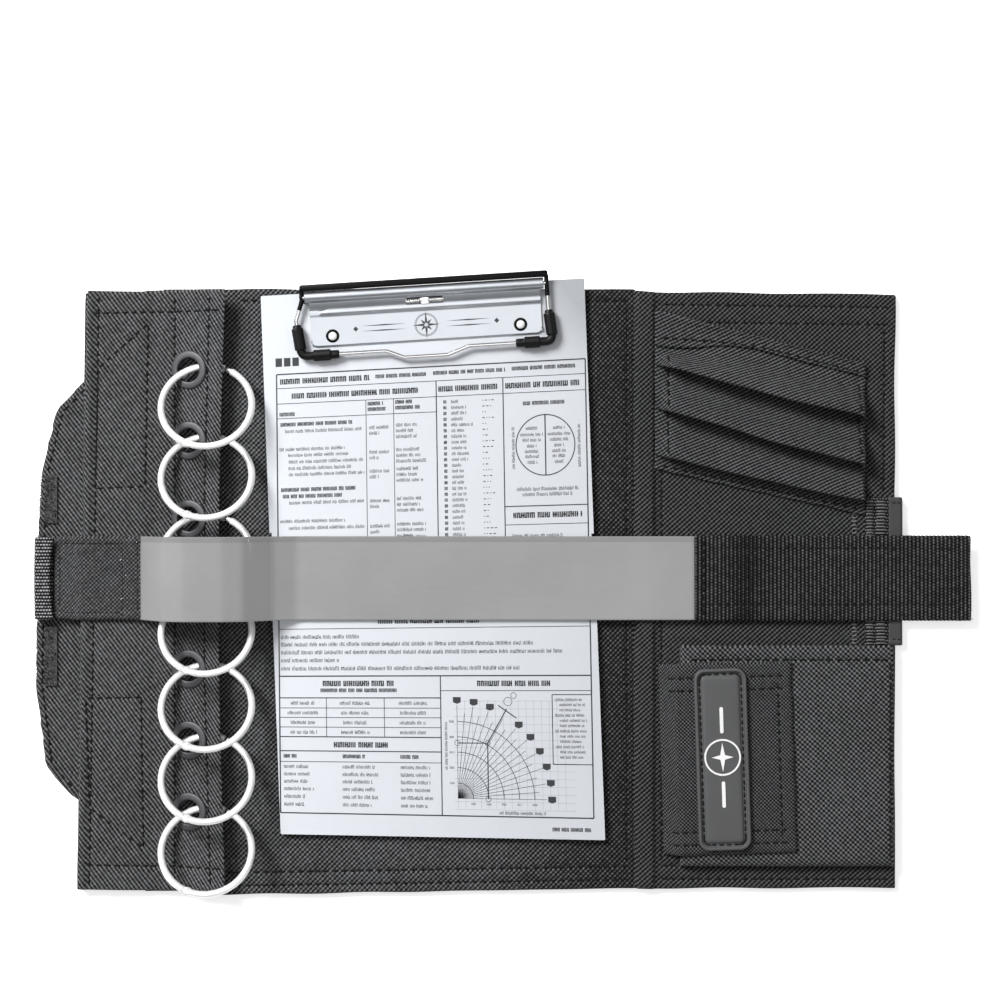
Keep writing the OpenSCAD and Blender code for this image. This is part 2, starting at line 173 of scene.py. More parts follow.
def fabric(name, tone, angle, up, down, pitch=1.13, contrast=1.0, painted_shade=None, steep=0.5, along_cloth=False):
    """Coated plain weave. up and down weigh the light diagonals that rise and fall to the right.

    painted_shade is where a part darkened by painted shade begins and ends along X, and how dark it is. The pattern
    also runs down steep sides, along X by the share called steep, or follows the piece's own weave map."""
    p = Paint(name, rough=0.78, specular=0.1, sheen=0.03, sheen_rough=0.5)
    if along_cloth:
        lay = p.node("UVMap")
        lay.uv_map = "weave"
        x, y, _ = p.split(lay.outputs[0])
    else:
        x, y = p.x + p.z * steep, p.y + p.z * 0.5
    drift = p.uneven(30, 0.5, 2)
    c, s = math.cos(math.radians(angle)) / (pitch * MM), math.sin(math.radians(angle)) / (pitch * MM)
    a = x * c + y * s + drift
    b = y * c + x * -s + drift
    rise, fall = (p.math("COSINE", way * math.pi) for way in (a - b, a + b))
    weave = rise * (0.5 * up / (up + down)) + fall * (0.5 * down / (up + down))
    height = weave + 0.5 + p.uneven(0.22, 0.16, 2)
    value = (height - 0.5) * (0.95 * contrast) + 0.5
    value = value + (p.cell_noise(a + 0.5, b + 0.5) - 0.5) * 0.2 + p.uneven(55, 0.2)
    # Painted shade: darker along X over the given span.
    if painted_shade:
        far = (x - painted_shade[0] * MM) * (1 / ((painted_shade[1] - painted_shade[0]) * MM))
        value = value + p.math("SMOOTH_MIN", p.math("MAXIMUM", far, 0.0), 1.0, 0.3) * -painted_shade[2]
    p.color(value, (0.1, scaled(tone, 0.03)), (0.5, scaled(tone, 0.75)), (0.9, scaled(tone, 3.2)))
    p.rough(height * -0.16 + 0.84)
    p.bump(height, 0.3, 0.8)
    return p.mat


def webbing(name, tone, along, pitch, recess_shade=None):
    """Woven strap with ribs across the axis called along, each rib a row of beads.

    recess_shade is a band of painted shade across the strap where it dips: its place along the strap and its reach."""
    p = Paint(name, rough=0.7, specular=0.15, sheen=0.02)
    run, across = (p.x, p.y) if along == "x" else (p.y, p.x)
    a = run * (1 / (pitch * MM)) + p.uneven(9, 0.12, 2)
    b = across * (1 / (1.35 * MM))
    rib = p.math("COSINE", a * (2 * math.pi)) * 0.5 + 0.5
    bead = p.math("SINE", p.math("FRACT", b + p.math("FLOOR", a + 0.5) * 0.5) * math.pi)
    height = rib * (bead * 0.8 + 0.2)
    value = height + (p.cell_noise(a + 0.5, b) - 0.5) * 0.3 + p.uneven(30, 0.2)
    # Painted shade: a darker band across the strap at the given place.
    if recess_shade:
        off = (run - recess_shade[0] * MM) * (1 / (recess_shade[1] * MM))
        value = value + p.math("DIVIDE", -0.3, off * off + 1.0)
    p.color(value, (0.1, scaled(tone, 0.1)), (0.4, scaled(tone, 0.8)), (0.95, scaled(tone, 9)))
    p.bump(height, 0.3, 0.8)
    return p.mat


def plain(name, tone, rough, grain=1.2, depth=0.05, vary=0.12, **more):
    """A moulded or coated surface with fine grain, slight blotches and roughness that varies."""
    p = Paint(name, rough=rough, **more)
    fine = p.noise(grain, 2)
    blots = p.noise(28, 4) * 0.6 + fine * 0.4
    p.color(blots, (0.25, scaled(tone, 1 - vary)), (0.75, scaled(tone, 1 + vary)))
    p.rough(p.noise(11, 3) * 0.16 + (rough - 0.08))
    p.bump(fine, depth, 0.35)
    return p.mat


def plate(name, tone):
    """Satin coating with fine grain, darker away from the left edge and beside the clip: painted shade for the
    light's falloff and the clip's shadow.
    """
    p = Paint(name, rough=0.42, coat=0.15)
    right = (p.x + 0.11) * (1 / 0.155)
    corner = p.math("MAXIMUM", p.x * (1 / 0.04), 0.0) * p.math("MAXIMUM", (p.y - 0.094) * (1 / 0.03), 0.0)
    # Painted shade: darker to the right, and darkest in the upper right corner beside the clip.
    painted_shading = right * 0.24 + p.math("MINIMUM", corner, 1.0) * 0.4
    grain = p.noise(2.2, 2)
    p.color(grain * 0.05 + p.noise(28, 4) * 0.08 + painted_shading, (0.0, scaled(tone, 1.24)), (1.0, scaled(tone, 0.3)))
    p.rough(p.noise(11, 3) * 0.16 + 0.34)
    p.bump(grain, 0.02, 0.35)
    return p.mat


def metal(name, tone, rough, stretch=(1, 1, 1), scratch=0.5, share=1.0):
    """Plated metal with faint draw lines, handling marks and duller patches."""
    p = Paint(name, metal=share, rough=rough)
    lines, patch = p.noise(scratch, 2, stretch), p.noise(17, 4)
    p.color(patch, (0.25, scaled(tone, 0.92)), (0.7, tone))
    p.rough(lines * 0.1 + patch * 0.12 + max(0.0, rough - 0.09))
    p.bump(lines, 0.012, 0.25)
    return p.mat


def fuzz(name, tone):
    """Hook-and-loop face: a dense mat of tiny loops."""
    p = Paint(name, rough=0.95, specular=0.2, sheen=0.3)
    loops = p.noise(0.7, 3, rough=0.7)
    p.color(loops, (0.3, scaled(tone, 0.3)), (0.7, scaled(tone, 1.6)))
    p.bump(loops, 0.5, 0.9)
    return p.mat


def board(name):
    """Grey-brown fibre board."""
    p = Paint(name, rough=0.9, specular=0.2)
    fibre = p.noise(1.6, 4, (1, 1, 4))
    p.color(fibre, (0.3, (0.25, 0.18, 0.11)), (0.7, (0.5, 0.39, 0.26)))
    p.bump(fibre, 0.15, 0.6)
    return p.mat


def frosted(name):
    """Smooth frosted elastic, with a darker border along its upper edge and faint threads along it. It glows a
    little, painted light that evens out its shading.
    """
    p = Paint(name, rough=0.6, specular=0.12, alpha=0.89, glow=0.15)
    p.shader.inputs["Emission Color"].default_value = (1, 1, 1, 1)
    border = p.math("GREATER_THAN", p.y, (STRAP[1] - 2.3) * MM)
    threads = p.noise(0.9, 2, (0.08, 1, 1))
    p.color(threads * 0.06 + p.noise(40, 3) * 0.2 + border * -0.14, (0.0, (0.12,) * 3), (0.24, (0.222,) * 3))
    p.bump(threads, 0.04, 0.4)
    return p.mat


CHARCOAL = (0.06, 0.061, 0.063)
CLOTH_LEFT = fabric("cloth_left", scaled(CHARCOAL, 0.82), -8, 0.22, 1.0, contrast=0.85, steep=0.05)
# The centre cloth is darker from X -10 toward the spine at X 58: painted shade.
CLOTH_CENTER = fabric("cloth_center", scaled(CHARCOAL, 0.78), 1, 1.0, 0.5, painted_shade=(-10, 58, 0.27))
CLOTH_RIGHT = fabric("cloth_right", scaled(CHARCOAL, 0.41), -3, 1.0, 0.4, contrast=1.3)
CLOTH_PLEAT = fabric("cloth_pleat", scaled(CHARCOAL, 0.56), -18, 1.0, 0.3, 1.09, 1.1, along_cloth=True)
CLOTH_POCKET = fabric("cloth_pocket", scaled(CHARCOAL, 0.72), 3, 0.85, 1.0, 1.15, contrast=1.3)
CLOTH_FLAP = fabric("cloth_flap", scaled(CHARCOAL, 0.52), 1, 0.9, 1.0, 0.86, 1.35)
CLOTH_BACK = fabric("cloth_back", scaled(CHARCOAL, 0.8), 0, 0.5, 1.0)
THREAD = plain("thread", (0.007, 0.007, 0.0075), 0.7, 0.4, 0.06, specular=0.15)
BAR_THREAD = plain("bar_tack_thread", (0.12, 0.12, 0.122), 0.7, 0.3, 0.1)
# The tail has a band of painted shade at X 112.
WEB_TAIL = webbing("webbing_tail", (0.0115, 0.0115, 0.012), "x", 1.82, (112, 5))
WEB_LOOP = webbing("webbing_loop", (0.046, 0.046, 0.048), "y", 1.5)
WEB_KEEPER = webbing("webbing_keeper", (0.014, 0.014, 0.015), "y", 1.45)
TAPE = plain("binding_tape", (0.03, 0.03, 0.031), 0.7, 0.5, 0.08)
STRAP_SATIN = fabric("strap_satin", scaled(CHARCOAL, 0.72), 90, 0.8, 1.0, 0.95, 0.75)
FROST = frosted("frosted_elastic")
PLATE = plate("plate_coating", (0.53, 0.55, 0.585))
INK = plain("print_ink", (0.02, 0.022, 0.026), 0.5, 0.8, 0.02)
INK_GREY = plain("print_ink_grey", (0.33, 0.34, 0.37), 0.5, 0.8, 0.02)
CHROME = metal("clip_chrome", (0.5, 0.525, 0.56), 0.3, (0.04, 1, 1), 0.4)
RING_CHROME = metal("ring_chrome", (0.97, 0.97, 0.97), 0.3, share=0.45)
STEEL = metal("bail_steel", (0.8, 0.8, 0.8), 0.16, scratch=0.3)
GUNMETAL = metal("grommet_metal", (0.085, 0.085, 0.09), 0.5, share=0.7)
LACQUER = plain("black_lacquer", (0.003, 0.003, 0.0035), 0.42, 1.5, 0.02, specular=0.1)
RUBBER = plain("bail_rubber", (0.004, 0.004, 0.0045), 0.42, 0.6, 0.08, specular=0.2)
BADGE = plain("badge_rubber", (0.062, 0.063, 0.065), 0.62, 0.5, 0.06)
MARK = plain("badge_mark", (0.75, 0.75, 0.75), 0.55, 0.8, 0.02)
FUZZ = fuzz("hook_and_loop", (0.03, 0.03, 0.03))
HOOKS = fuzz("hook_strip", (0.075, 0.075, 0.077))
CARD = board("stiffener")
FLOOR = plain("floor_paper", (0.93, 0.93, 0.93), 0.9, 6, 0.02, 0.004, glow=0.55)


# ---------------------------------------------------------------- mesh tools
def mesh(name, part, material, body=None, nodes=(), sharp=40):
    """A piece from vertices and faces, riding on its body in place of the nodes."""
    verts, faces = part
    me = bpy.data.meshes.new(name)
    me.from_pydata((np.asarray(verts, float).reshape(-1, 3) * MM).tolist(), [], [list(map(int, f)) for f in faces])
    me.materials.append(material)
    me.shade_smooth()
    me.set_sharp_from_angle(angle=math.radians(sharp))
    ob = bpy.data.objects.new(name, me)
    bpy.context.scene.collection.objects.link(ob)
    if body:
        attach(ob, body)
    if nodes:
        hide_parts(*nodes)
    return ob


def grid(a, b):
    return np.meshgrid(a, b, indexing="ij")


def stack(*layers):
    return np.stack(layers, 2)


def flat(level):
    """A function of one or two coordinates that is the same everywhere."""
    return lambda *at: level + 0 * at[0]


def polar(r, a):
    return r * math.cos(a), r * math.sin(a)


def wobble(x, y, size, amount, seed):
    """Smooth unevenness: a sum of waves about size long."""
    r = np.random.default_rng(seed)
    total = 0
    for _ in range(7):
        turn, wave, shift = r.uniform(0, 2 * math.pi), 2 * math.pi / (size * r.uniform(0.7, 1.6)), r.uniform(0, 6.3)
        total = total + np.sin(wave * (x * math.cos(turn) + y * math.sin(turn)) + shift)
    return amount * total / 3


def stops(a, b, step, fine=()):
    """Grid lines from a to b about step apart, with extra ones beside each stitch line in fine."""
    base = list(np.linspace(a, b, max(2, int(round(abs(b - a) / step)) + 1)))
    for f in fine:
        base = [v for v in base if abs(v - f) > 1.5 or v in (a, b)]
        base += [f + d for d in (-1.3, -0.65, 0, 0.65, 1.3) if min(a, b) < f + d < max(a, b)]
    return np.array(sorted(base, reverse=a > b))


def smooth(t):
    t = np.clip(t, 0, 1)
    return t * t * (3 - 2 * t)


def ridge_at(x, at, width):
    """A soft ridge across the line x = at, 1 high."""
    return np.exp(-((x - at) / width) ** 2)


def cloth(name, P, t, material, slot, body=None, nodes=(), keep=None, bulge=0.4, weave=None):
    """A closed sheet t thick. The grid P is its upper side; keep says which cells are there."""
    n, m = P.shape[:2]
    N = np.cross(np.gradient(P, axis=0), np.gradient(P, axis=1))
    N /= np.linalg.norm(N, axis=2, keepdims=True) + 1e-12
    keep = np.ones((n - 1, m - 1), bool) if keep is None else keep
    at = np.arange(n * m).reshape(n, m)
    faces, edges = [], {}
    for i, j in np.argwhere(keep):
        q = (at[i, j], at[i + 1, j], at[i + 1, j + 1], at[i, j + 1])
        faces.append(q)
        for a, b in zip(q, q[1:] + q[:1]):
            if (b, a) in edges:
                del edges[(b, a)]
            else:
                edges[(a, b)] = True
    size = n * m
    top, norm = P.reshape(-1, 3), N.reshape(-1, 3)
    out = np.zeros((size, 3))
    for a, b in edges:
        side = np.cross(top[b] - top[a], norm[a])
        side /= np.linalg.norm(side) + 1e-12
        out[a] += side
        out[b] += side
    out /= np.linalg.norm(out, axis=1, keepdims=True) + 1e-9
    verts = np.concatenate([top, top - norm * t, top - norm * t / 2 + out * t * bulge])
    faces += [tuple(v + size for v in reversed(q)) for q in faces]
    for a, b in edges:
        faces.append((b, a, a + 2 * size, b + 2 * size))
        faces.append((b + 2 * size, a + 2 * size, a + size, b + size))
    used = np.unique(np.concatenate([np.array(f) for f in faces]))
    back = np.zeros(3 * size, int)
    back[used] = np.arange(len(used))
    ob = mesh(name, (verts[used], [[back[v] for v in f] for f in faces]), material, body, nodes, 60)
    if weave is not None:
        corner = np.zeros(len(ob.data.loops), int)
        ob.data.loops.foreach_get("vertex_index", corner)
        lay = np.tile(weave.reshape(-1, 2), (3, 1))[used][corner] * MM
        ob.data.uv_layers.new(name="weave").data.foreach_set("uv", lay.astype(np.float32).ravel())
    return ob


def wrap(values, start, end, depth):
    """Lines of a grid with the turned-down edge added: their place, the way out, and how far they drop."""
    down = [(0.25, 0.12), (0.6, 0.6), (0.75, 1.4), (0.77, depth * 0.7), (0.78, depth)]
    way = np.sign(values[-1] - values[0])
    head = [(values[0], -o * way, d) for o, d in reversed(down)] if start else []
    tail = [(values[-1], o * way, d) for o, d in down] if end else []
    return np.array(head + [(v, 0, 0) for v in values] + tail).T


def turned(xs, ys, wraps, depth):
    """A grid whose edges turn down where wraps (left, right, bottom, top) says: places, ways out, drops.

    The ways out are eased where two turned edges meet in a corner."""
    (bx, ox, dx), (by, oy, dy) = wrap(xs, *wraps[:2], depth), wrap(ys, *wraps[2:], depth)
    OX, OY = grid(ox, oy)
    ease = np.maximum(np.abs(OX), np.abs(OY)) / np.maximum(np.hypot(OX, OY), 1e-9)
    ease = np.where((OX != 0) & (OY != 0), ease, 1)
    return *grid(bx, by), OX * ease, OY * ease, *grid(dx, dy)


def stitched(runs, level, depth=0.4, width=0.8):
    """A height function of x and y: level, with a groove under each straight run of stitches."""
    def height(x, y):
        z = level(x, y)
        for (x0, y0), (x1, y1) in runs:
            dx, dy = x1 - x0, y1 - y0
            k = np.clip(((x - x0) * dx + (y - y0) * dy) / (dx * dx + dy * dy), 0, 1)
            d2 = (x - x0 - k * dx) ** 2 + (y - y0 - k * dy) ** 2
            z = z - depth * np.exp(-d2 / width ** 2)
        return z
    return height


def stitches(name, runs, height, body=None, pitch=4.0, long=3.0, r=0.5, below=False):
    """Thread laid in runs of single stitches on the surface height(x, y), each one a small rounded bar."""
    verts, faces = [], []
    rings = ((-0.5, 0.25, -0.35), (-0.36, 0.85, 0.05), (0, 1, 0.2), (0.36, 0.85, 0.05), (0.5, 0.25, -0.35))
    rnd = np.random.default_rng(len(runs) + int(abs(runs[0][0][0]) * 10))
    for (x0, y0), (x1, y1) in runs:
        length = math.hypot(x1 - x0, y1 - y0)
        count = max(1, int(length / pitch))
        ux, uy = (x1 - x0) / length, (y1 - y0) / length
        for i in range(count):
            s = (i + 0.5) * length / count + rnd.uniform(-0.15, 0.15)
            turn = rnd.uniform(-0.06, 0.06)
            dx, dy = ux - uy * turn, uy + ux * turn
            cx, cy = x0 + ux * s, y0 + uy * s
            base = len(verts)
            for place, wide, lift in rings:
                px, py = cx + dx * place * long, cy + dy * place * long
                pz = float(height(np.array(px), np.array(py))) + lift * r + 0.05
                for k in range(6):
                    side, up = polar(r * wide, k * math.pi / 3)
                    verts.append((px - dy * side, py + dx * side, pz - up if below else pz + up))
            for q in range(4):
                for k in range(6):
                    a, b = base + q * 6 + k, base + q * 6 + (k + 1) % 6
                    faces.append((a, b, b + 6, a + 6))
            faces.append([base + k for k in reversed(range(6))])
            faces.append([base + 24 + k for k in range(6)])
    return mesh(name, (verts, faces), THREAD, body, sharp=80)


def seams(*lines):
    """Straight runs along each line of points."""
    return [run for line in lines for run in zip(line[:-1], line[1:])]


def resample(points, step):
    """Points about step apart along a line, and how far along it they are."""
    pts = [Vector(p) for p in points]
    at = [0]
    for a, b in zip(pts, pts[1:]):
        at.append(at[-1] + (b - a).length)
    want = np.linspace(0, at[-1], max(2, int(at[-1] / step) + 1))
    return [Vector([np.interp(s, at, [p[k] for p in pts]) for k in range(3)]) for s in want], want


def fillet(points, r, n, step):
    """A 3D line with rounded corners, resampled."""
    pts = [Vector(p) for p in points]
    out = [pts[0]]
    for a, b, c in zip(pts, pts[1:], pts[2:]):
        u, v = a - b, c - b
        cut = min(r * math.tan((math.pi - u.angle(v)) / 2), u.length * 0.49, v.length * 0.49)
        s, e = b + u.normalized() * cut, b + v.normalized() * cut
        out += [s.lerp(b, k / n).lerp(b.lerp(e, k / n), k / n) for k in range(n + 1)]
    clean = [out[0]]
    for p in out[1:] + [pts[-1]]:
        if (p - clean[-1]).length > 1e-4:
            clean.append(p)
    return resample(clean, step)


def section(points, r, n, step):
    """X and Z along a rounded line in the XZ plane."""
    line, _ = fillet([(x, 0, z) for x, z in points], r, n, step)
    return np.array([p.x for p in line]), np.array([p.z for p in line])


def tube(points, radii, sides=12, up=UP, flats=None, shifts=None):
    """Vertices and faces of a capped tube. flats are second radii along up, shifts move it along up."""
    pts = [Vector(p) for p in points]
    n = len(pts)
    radii = [radii] * n if np.isscalar(radii) else radii
    flats, shifts = flats or radii, shifts or [0] * n
    verts, faces = [], []
    for i, p in enumerate(pts):
        t = (pts[min(i + 1, n - 1)] - pts[max(i - 1, 0)]).normalized()
        side = t.cross(up)
        side = side.normalized() if side.length > 1e-6 else Vector((1, 0, 0))
        top = side.cross(t).normalized()
        for k in range(sides):
            a = 2 * math.pi * k / sides
            verts.append(p + top * shifts[i] + side * (math.cos(a) * radii[i]) + top * (math.sin(a) * flats[i]))
    for i in range(n - 1):
        for k in range(sides):
            a, b = i * sides + k, i * sides + (k + 1) % sides
            faces.append((a, a + sides, b + sides, b))
    faces.append(list(range(sides)))
    faces.append([(n - 1) * sides + k for k in reversed(range(sides))])
    return verts, faces


def lathe(profile, sides=40, closed=False):
    """Vertices and faces of a profile of (radius, height) turned about Z."""
    verts = [Vector((*polar(r, 2 * math.pi * k / sides), z)) for r, z in profile for k in range(sides)]
    faces, rows = [], len(profile)
    for i in range(rows if closed else rows - 1):
        for k in range(sides):
            a, b, j = i * sides, ((i + 1) % rows) * sides, (k + 1) % sides
            faces.append((a + k, a + j, b + j, b + k))
    if not closed:
        faces.append(list(reversed(range(sides))))
        faces.append([(rows - 1) * sides + k for k in range(sides)])
    return verts, faces


def loft(loops):
    """Loops of the same length joined in order, with a cap at each end."""
    n = len(loops[0])
    verts = [Vector(p) for loop in loops for p in loop]
    faces = [(i * n + k, i * n + (k + 1) % n, (i + 1) * n + (k + 1) % n, (i + 1) * n + k)
             for i in range(len(loops) - 1) for k in range(n)]
    faces.append(list(reversed(range(n))))
    faces.append([(len(loops) - 1) * n + k for k in range(n)])
    return verts, faces


def slab(outline, low, high):
    """An outline of (x, y) between two heights."""
    return loft([[(x, y, z) for x, y in outline] for z in (low, high)])


def join(*parts):
    verts, faces = [], []
    for v, f in parts:
        base = len(verts)
        verts += list(v)
        faces += [[base + k for k in q] for q in f]
    return verts, faces


def moved(part, matrix):
    return [matrix @ Vector(v) for v in part[0]], part[1]


def shifted(part, x, y, z=0):
    return moved(part, Matrix.Translation((x, y, z)))


def round_box(w, h, r, n=6, at=(0, 0)):
    """Points round a rectangle with round corners, centred on at."""
    out = []
    for sx, sy, a0 in ((1, 1, 0), (-1, 1, 90), (-1, -1, 180), (1, -1, 270)):
        for k in range(n + 1):
            x, y = polar(r, math.radians(a0 + 90 * k / n))
            out.append((sx * (w / 2 - r) + x + at[0], sy * (h / 2 - r) + y + at[1]))
    return out


def star(points, hub, tips, at=0.0):
    """Outlines of a compass star's points: pointed at tips in turn, wide at the radius hub."""
    out = []
    for k in range(points):
        a, half = 2 * math.pi * k / points, math.pi / points
        out.append([polar(at, a), polar(hub, a - half), polar(tips[k % 2], a), polar(hub, a + half)])
    return out


def homogeneous(X, Y, Z, matrix):
    """The grid of points X, Y, Z moved by a matrix."""
    return np.stack([X, Y, Z, np.ones_like(X)], 2) @ np.array(matrix)[:3].T


def fold(piece):
    """Bakes a piece's placement into its mesh."""
    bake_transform(piece)


# ---------------------------------------------------------------- left panel and ring flap
def lean(y):
    """How far the left panel's outer edge leans out at y."""
    return -4.2 * (LEFT_HIGH - y) / (LEFT_HIGH - LEFT_LOW)


def left_x(base, y):
    """X of the left cloth: it leans at the outer edge and bows at the ring flap's free edge."""
    share = np.clip((SPINE_LEFT[0] - base) / 25.9, 0, 1)
    free = np.clip((base - RING_FLAP_X) / 22.6, 0, 1)
    t = (y - LEFT_LOW) / (LEFT_HIGH - LEFT_LOW)
    return base + lean(y) * share - 3.0 * np.sin(np.clip(t, 0, 1) * math.pi) * free + 0.6 * free


LEFT_RUNS = seams(
    ((-185.2, 132.5), (-189.6, -139)), ((-191.2, -129.2), (-128.5, -130)), ((-188, 124.5), (-129, 125.5)),
    ((-162.4, 119.7), (-163.9, 44.9), (-186.8, 43.9), (-185.3, 99.3), (-162.4, 119.7)),
    ((-165.7, -52.1), (-191.1, -52.6), (-189.5, -102.8), (-164.7, -121.3), (-165.7, -52.1)),
    ((-150.2, 132), (-150.2, -138)), ((-133.6, 132), (-136, 40), (-136, -40), (-133.2, -138)))


def left_level(x, y):
    slope = np.maximum(0, x - RING_FLAP_X) * math.tan(FLAP_SLOPE)
    under_strap = np.exp(-((y - STRAP_MID) / 24) ** 4)
    z = LEFT_TOP + slope + wobble(x, y, 60, 0.22, 3) * (1 - under_strap)
    rim = x - LEFT_EDGE - lean(y)
    return z - ridge_at(x, -159.8, 3.2) * 0.7 + 0.85 * ridge_at(rim, 1.2, 1.5) - 0.12 * ridge_at(rim, 4.6, 1.6)


left_height = stitched(LEFT_RUNS, left_level, 0.32)
BX, BY, OX, OY, DX, DY = turned(stops(LEFT_EDGE, -127.4, 2.0, (-186.5, -164, -150.2, -134.5)),
                                stops(LEFT_LOW, LEFT_HIGH, 2.1, (-129.4, 125, 44.4, -52.3)),
                                (True, False, True, True), 3.2)
short = np.where(BX > SPINE_LEFT[0], np.minimum(DY, 0.9), DY)
X = left_x(BX, BY) + OX + wobble(BX * 0, BY, 70, 0.35, 5) * (np.abs(BX - LEFT_EDGE) < 1)
Y = BY + OY + wobble(BX, BY * 0, 50, 0.3, 6)
P = stack(X, Y, left_height(X, Y) - np.maximum(DX, short))
mid = (P[:-1, :-1] + P[1:, 1:]) / 2
keep = np.ones(mid.shape[:2], bool)
for gy in GROMMET_Y:
    keep &= np.hypot(mid[:, :, 0] - GROMMET_X, mid[:, :, 1] - gy) > 6.7
left_cloth = cloth("left_cloth", P, 1.0, CLOTH_LEFT, "left_fabric", None,
                   ("left_front_cover", "left_spine", "ring_flap"), keep=keep)
left_seams = stitches("left_stitches", LEFT_RUNS, left_height)
for piece in (left_cloth, left_seams):
    fold(piece)


def flat_sheet(name, x0, x1, y0, y1, top, step, amount, seed, leaning, *looks, **more):
    """A plain sheet over a rectangle, its upper side near top. leaning follows the left panel's edge."""
    gx, gy = grid(stops(x0, x1, step), stops(y0, y1, step))
    gz = top + wobble(gx, gy, 50, amount, seed)
    if leaning:
        gx = gx + lean(gy) * 0.9 * np.clip((-164.4 - gx) / 27, 0, 1)
    return cloth(name, stack(gx, gy, gz), *looks, **more)


seam_tape = flat_sheet("flap_seam_tape", -155.2, -150.4, -138.5, 132.5, 5.25, 2.4, 0.05, 1, False,
                       0.85, TAPE, "left_fabric", "center_panel")

# The left panel's back and the flap on it, a sheet that can be seen whole from its centre
FLAP_EDGE = ((-165.6, 115.5), (-193.7, 91.7), (-204.7, 80.1), (-211.6, 51.6), (-213.4, 19.9), (-214.3, -47.4),
             (-209.6, -84.3), (-199, -96.5), (-165.6, -120.4), (-165.6, 115.5))
closed = np.array(FLAP_EDGE, float)
at = np.concatenate([[0], np.cumsum(np.hypot(*np.diff(closed, axis=0).T))])
rim = np.linspace(0, at[-1], 181)
k = np.concatenate([np.linspace(0.02, 0.96, 14), [0.985, 1.0]])[:, None]
gx, gy = (c + (np.interp(rim, at, closed[:, i]) - c) * k for i, c in enumerate((-180, -2)))
gx = gx + wobble(gx, gy, 9, 0.25, 12) * (k > 0.9)
P = stack(gx, gy, 1.55 + wobble(gx, gy, 40, 0.15, 8))
back_flap = cloth("left_back_flap_cloth", P, 1.45, CLOTH_LEFT, "left_fabric", "left_panel", ["left_back_flap"])
flap_runs = seams(((-191.5, 90.5), (-202.6, 79), (-209.4, 51.2), (-211.1, 19.7), (-212, -47), (-207.4, -83.2),
                   (-197.5, -94.3), (-192.5, -98)))
flap_seams = stitches("left_back_flap_stitches", flap_runs, flat(1.55), "left_panel")
back_left = flat_sheet("left_back_cloth", -191.6, -164.4, -140, 133.6, 2.55, 4, 0.04, 4, True,
                       0.9, CLOTH_BACK, "left_fabric", "left_panel", ["left_back_cover"])

# Bristles of the hook strips at the flap's outer edge
bristles, rnd = [], np.random.default_rng(11)
for low, high in ((28, 50), (-47, -20)):
    for _ in range((high - low) * 16):
        x, y = rnd.uniform(-210.6, -205.2), rnd.uniform(low, high)
        dx, dy = rnd.normal(-0.25, 0.35), rnd.normal(0, 0.3)
        bristles.append(tube([(x, y, 2.6), (x + dx * 0.4, y + dy * 0.4, 3.2), (x + dx * 1.5, y + dy * 1.5, 3.5)],
                             [0.09, 0.08, 0.05], 4))
    for _ in range((high - low) * 5):
        y = rnd.uniform(low, high)
        edge = np.interp(y, (-47, 20, 51), (-214.2, -213.4, -211.6))
        out, side = rnd.uniform(0.4, 1.3), rnd.normal(0, 0.4)
        bristles.append(tube([(edge + 0.6, y, 1.2), (edge - out * 0.6, y + side * 0.5, 1.1),
                              (edge - out, y + side, 0.9)], [0.1, 0.09, 0.05], 4))
mesh("hook_fibres", join(*bristles), THREAD, "left_panel")
NODES["left_hook_strip"].data.materials[0] = HOOKS

# Webbing folded round the flap's edge
px, pz = section([(-206.4, 8.35), (-214.5, 8.2), (-214.5, 1.7), (-207.2, 1.65)], 2.4, 7, 0.8)
PX, GY = grid(px, np.concatenate([[-15.9, -15.6], np.linspace(-15.3, 20.8, 150), [21.1, 21.35]]))
PZ, _ = grid(pz, GY[0])
PX = PX - np.linspace(1, 0, len(px))[:, None] ** 3 * 1.5 * np.sin((GY + 15.9) / 37.3 * math.pi)
P = stack(PX, GY, PZ)
n = np.cross(np.gradient(P, axis=0), np.gradient(P, axis=1))
n /= np.linalg.norm(n, axis=2, keepdims=True)
P = P - n * (0.13 * np.cos(GY / 1.5 * 2 * math.pi) + 0.13)[:, :, None]
loop = cloth("left_webbing_fold", P[::-1], 1.15, WEB_LOOP, "webbing", "left_panel", ["left_webbing_loop"])

# Smooth padded end of the strap
END_RUNS = seams(((-201, 18.6), (-175, 18.6)), ((-201, -13.1), (-175, -13.1)), ((-174, 20.6), (-174, -15.2)),
                 ((-166.9, 20.6), (-166.9, -15.2)), ((-203.2, 16.4), (-203.2, -11)))


def end_level(x, y):
    z = np.interp(x, (-205.4, -199.2, -196, -193, -165.8), (5.3, 5.9, 7.4, 8.75, 8.8))
    hem = 0.3 * smooth((np.abs(y - STRAP_MID) - 15.3) / 0.7) + 0.25 * smooth((x + 174.6) / 0.8)
    return z - 0.15 + hem + wobble(x, y, 22, 0.1, 9)


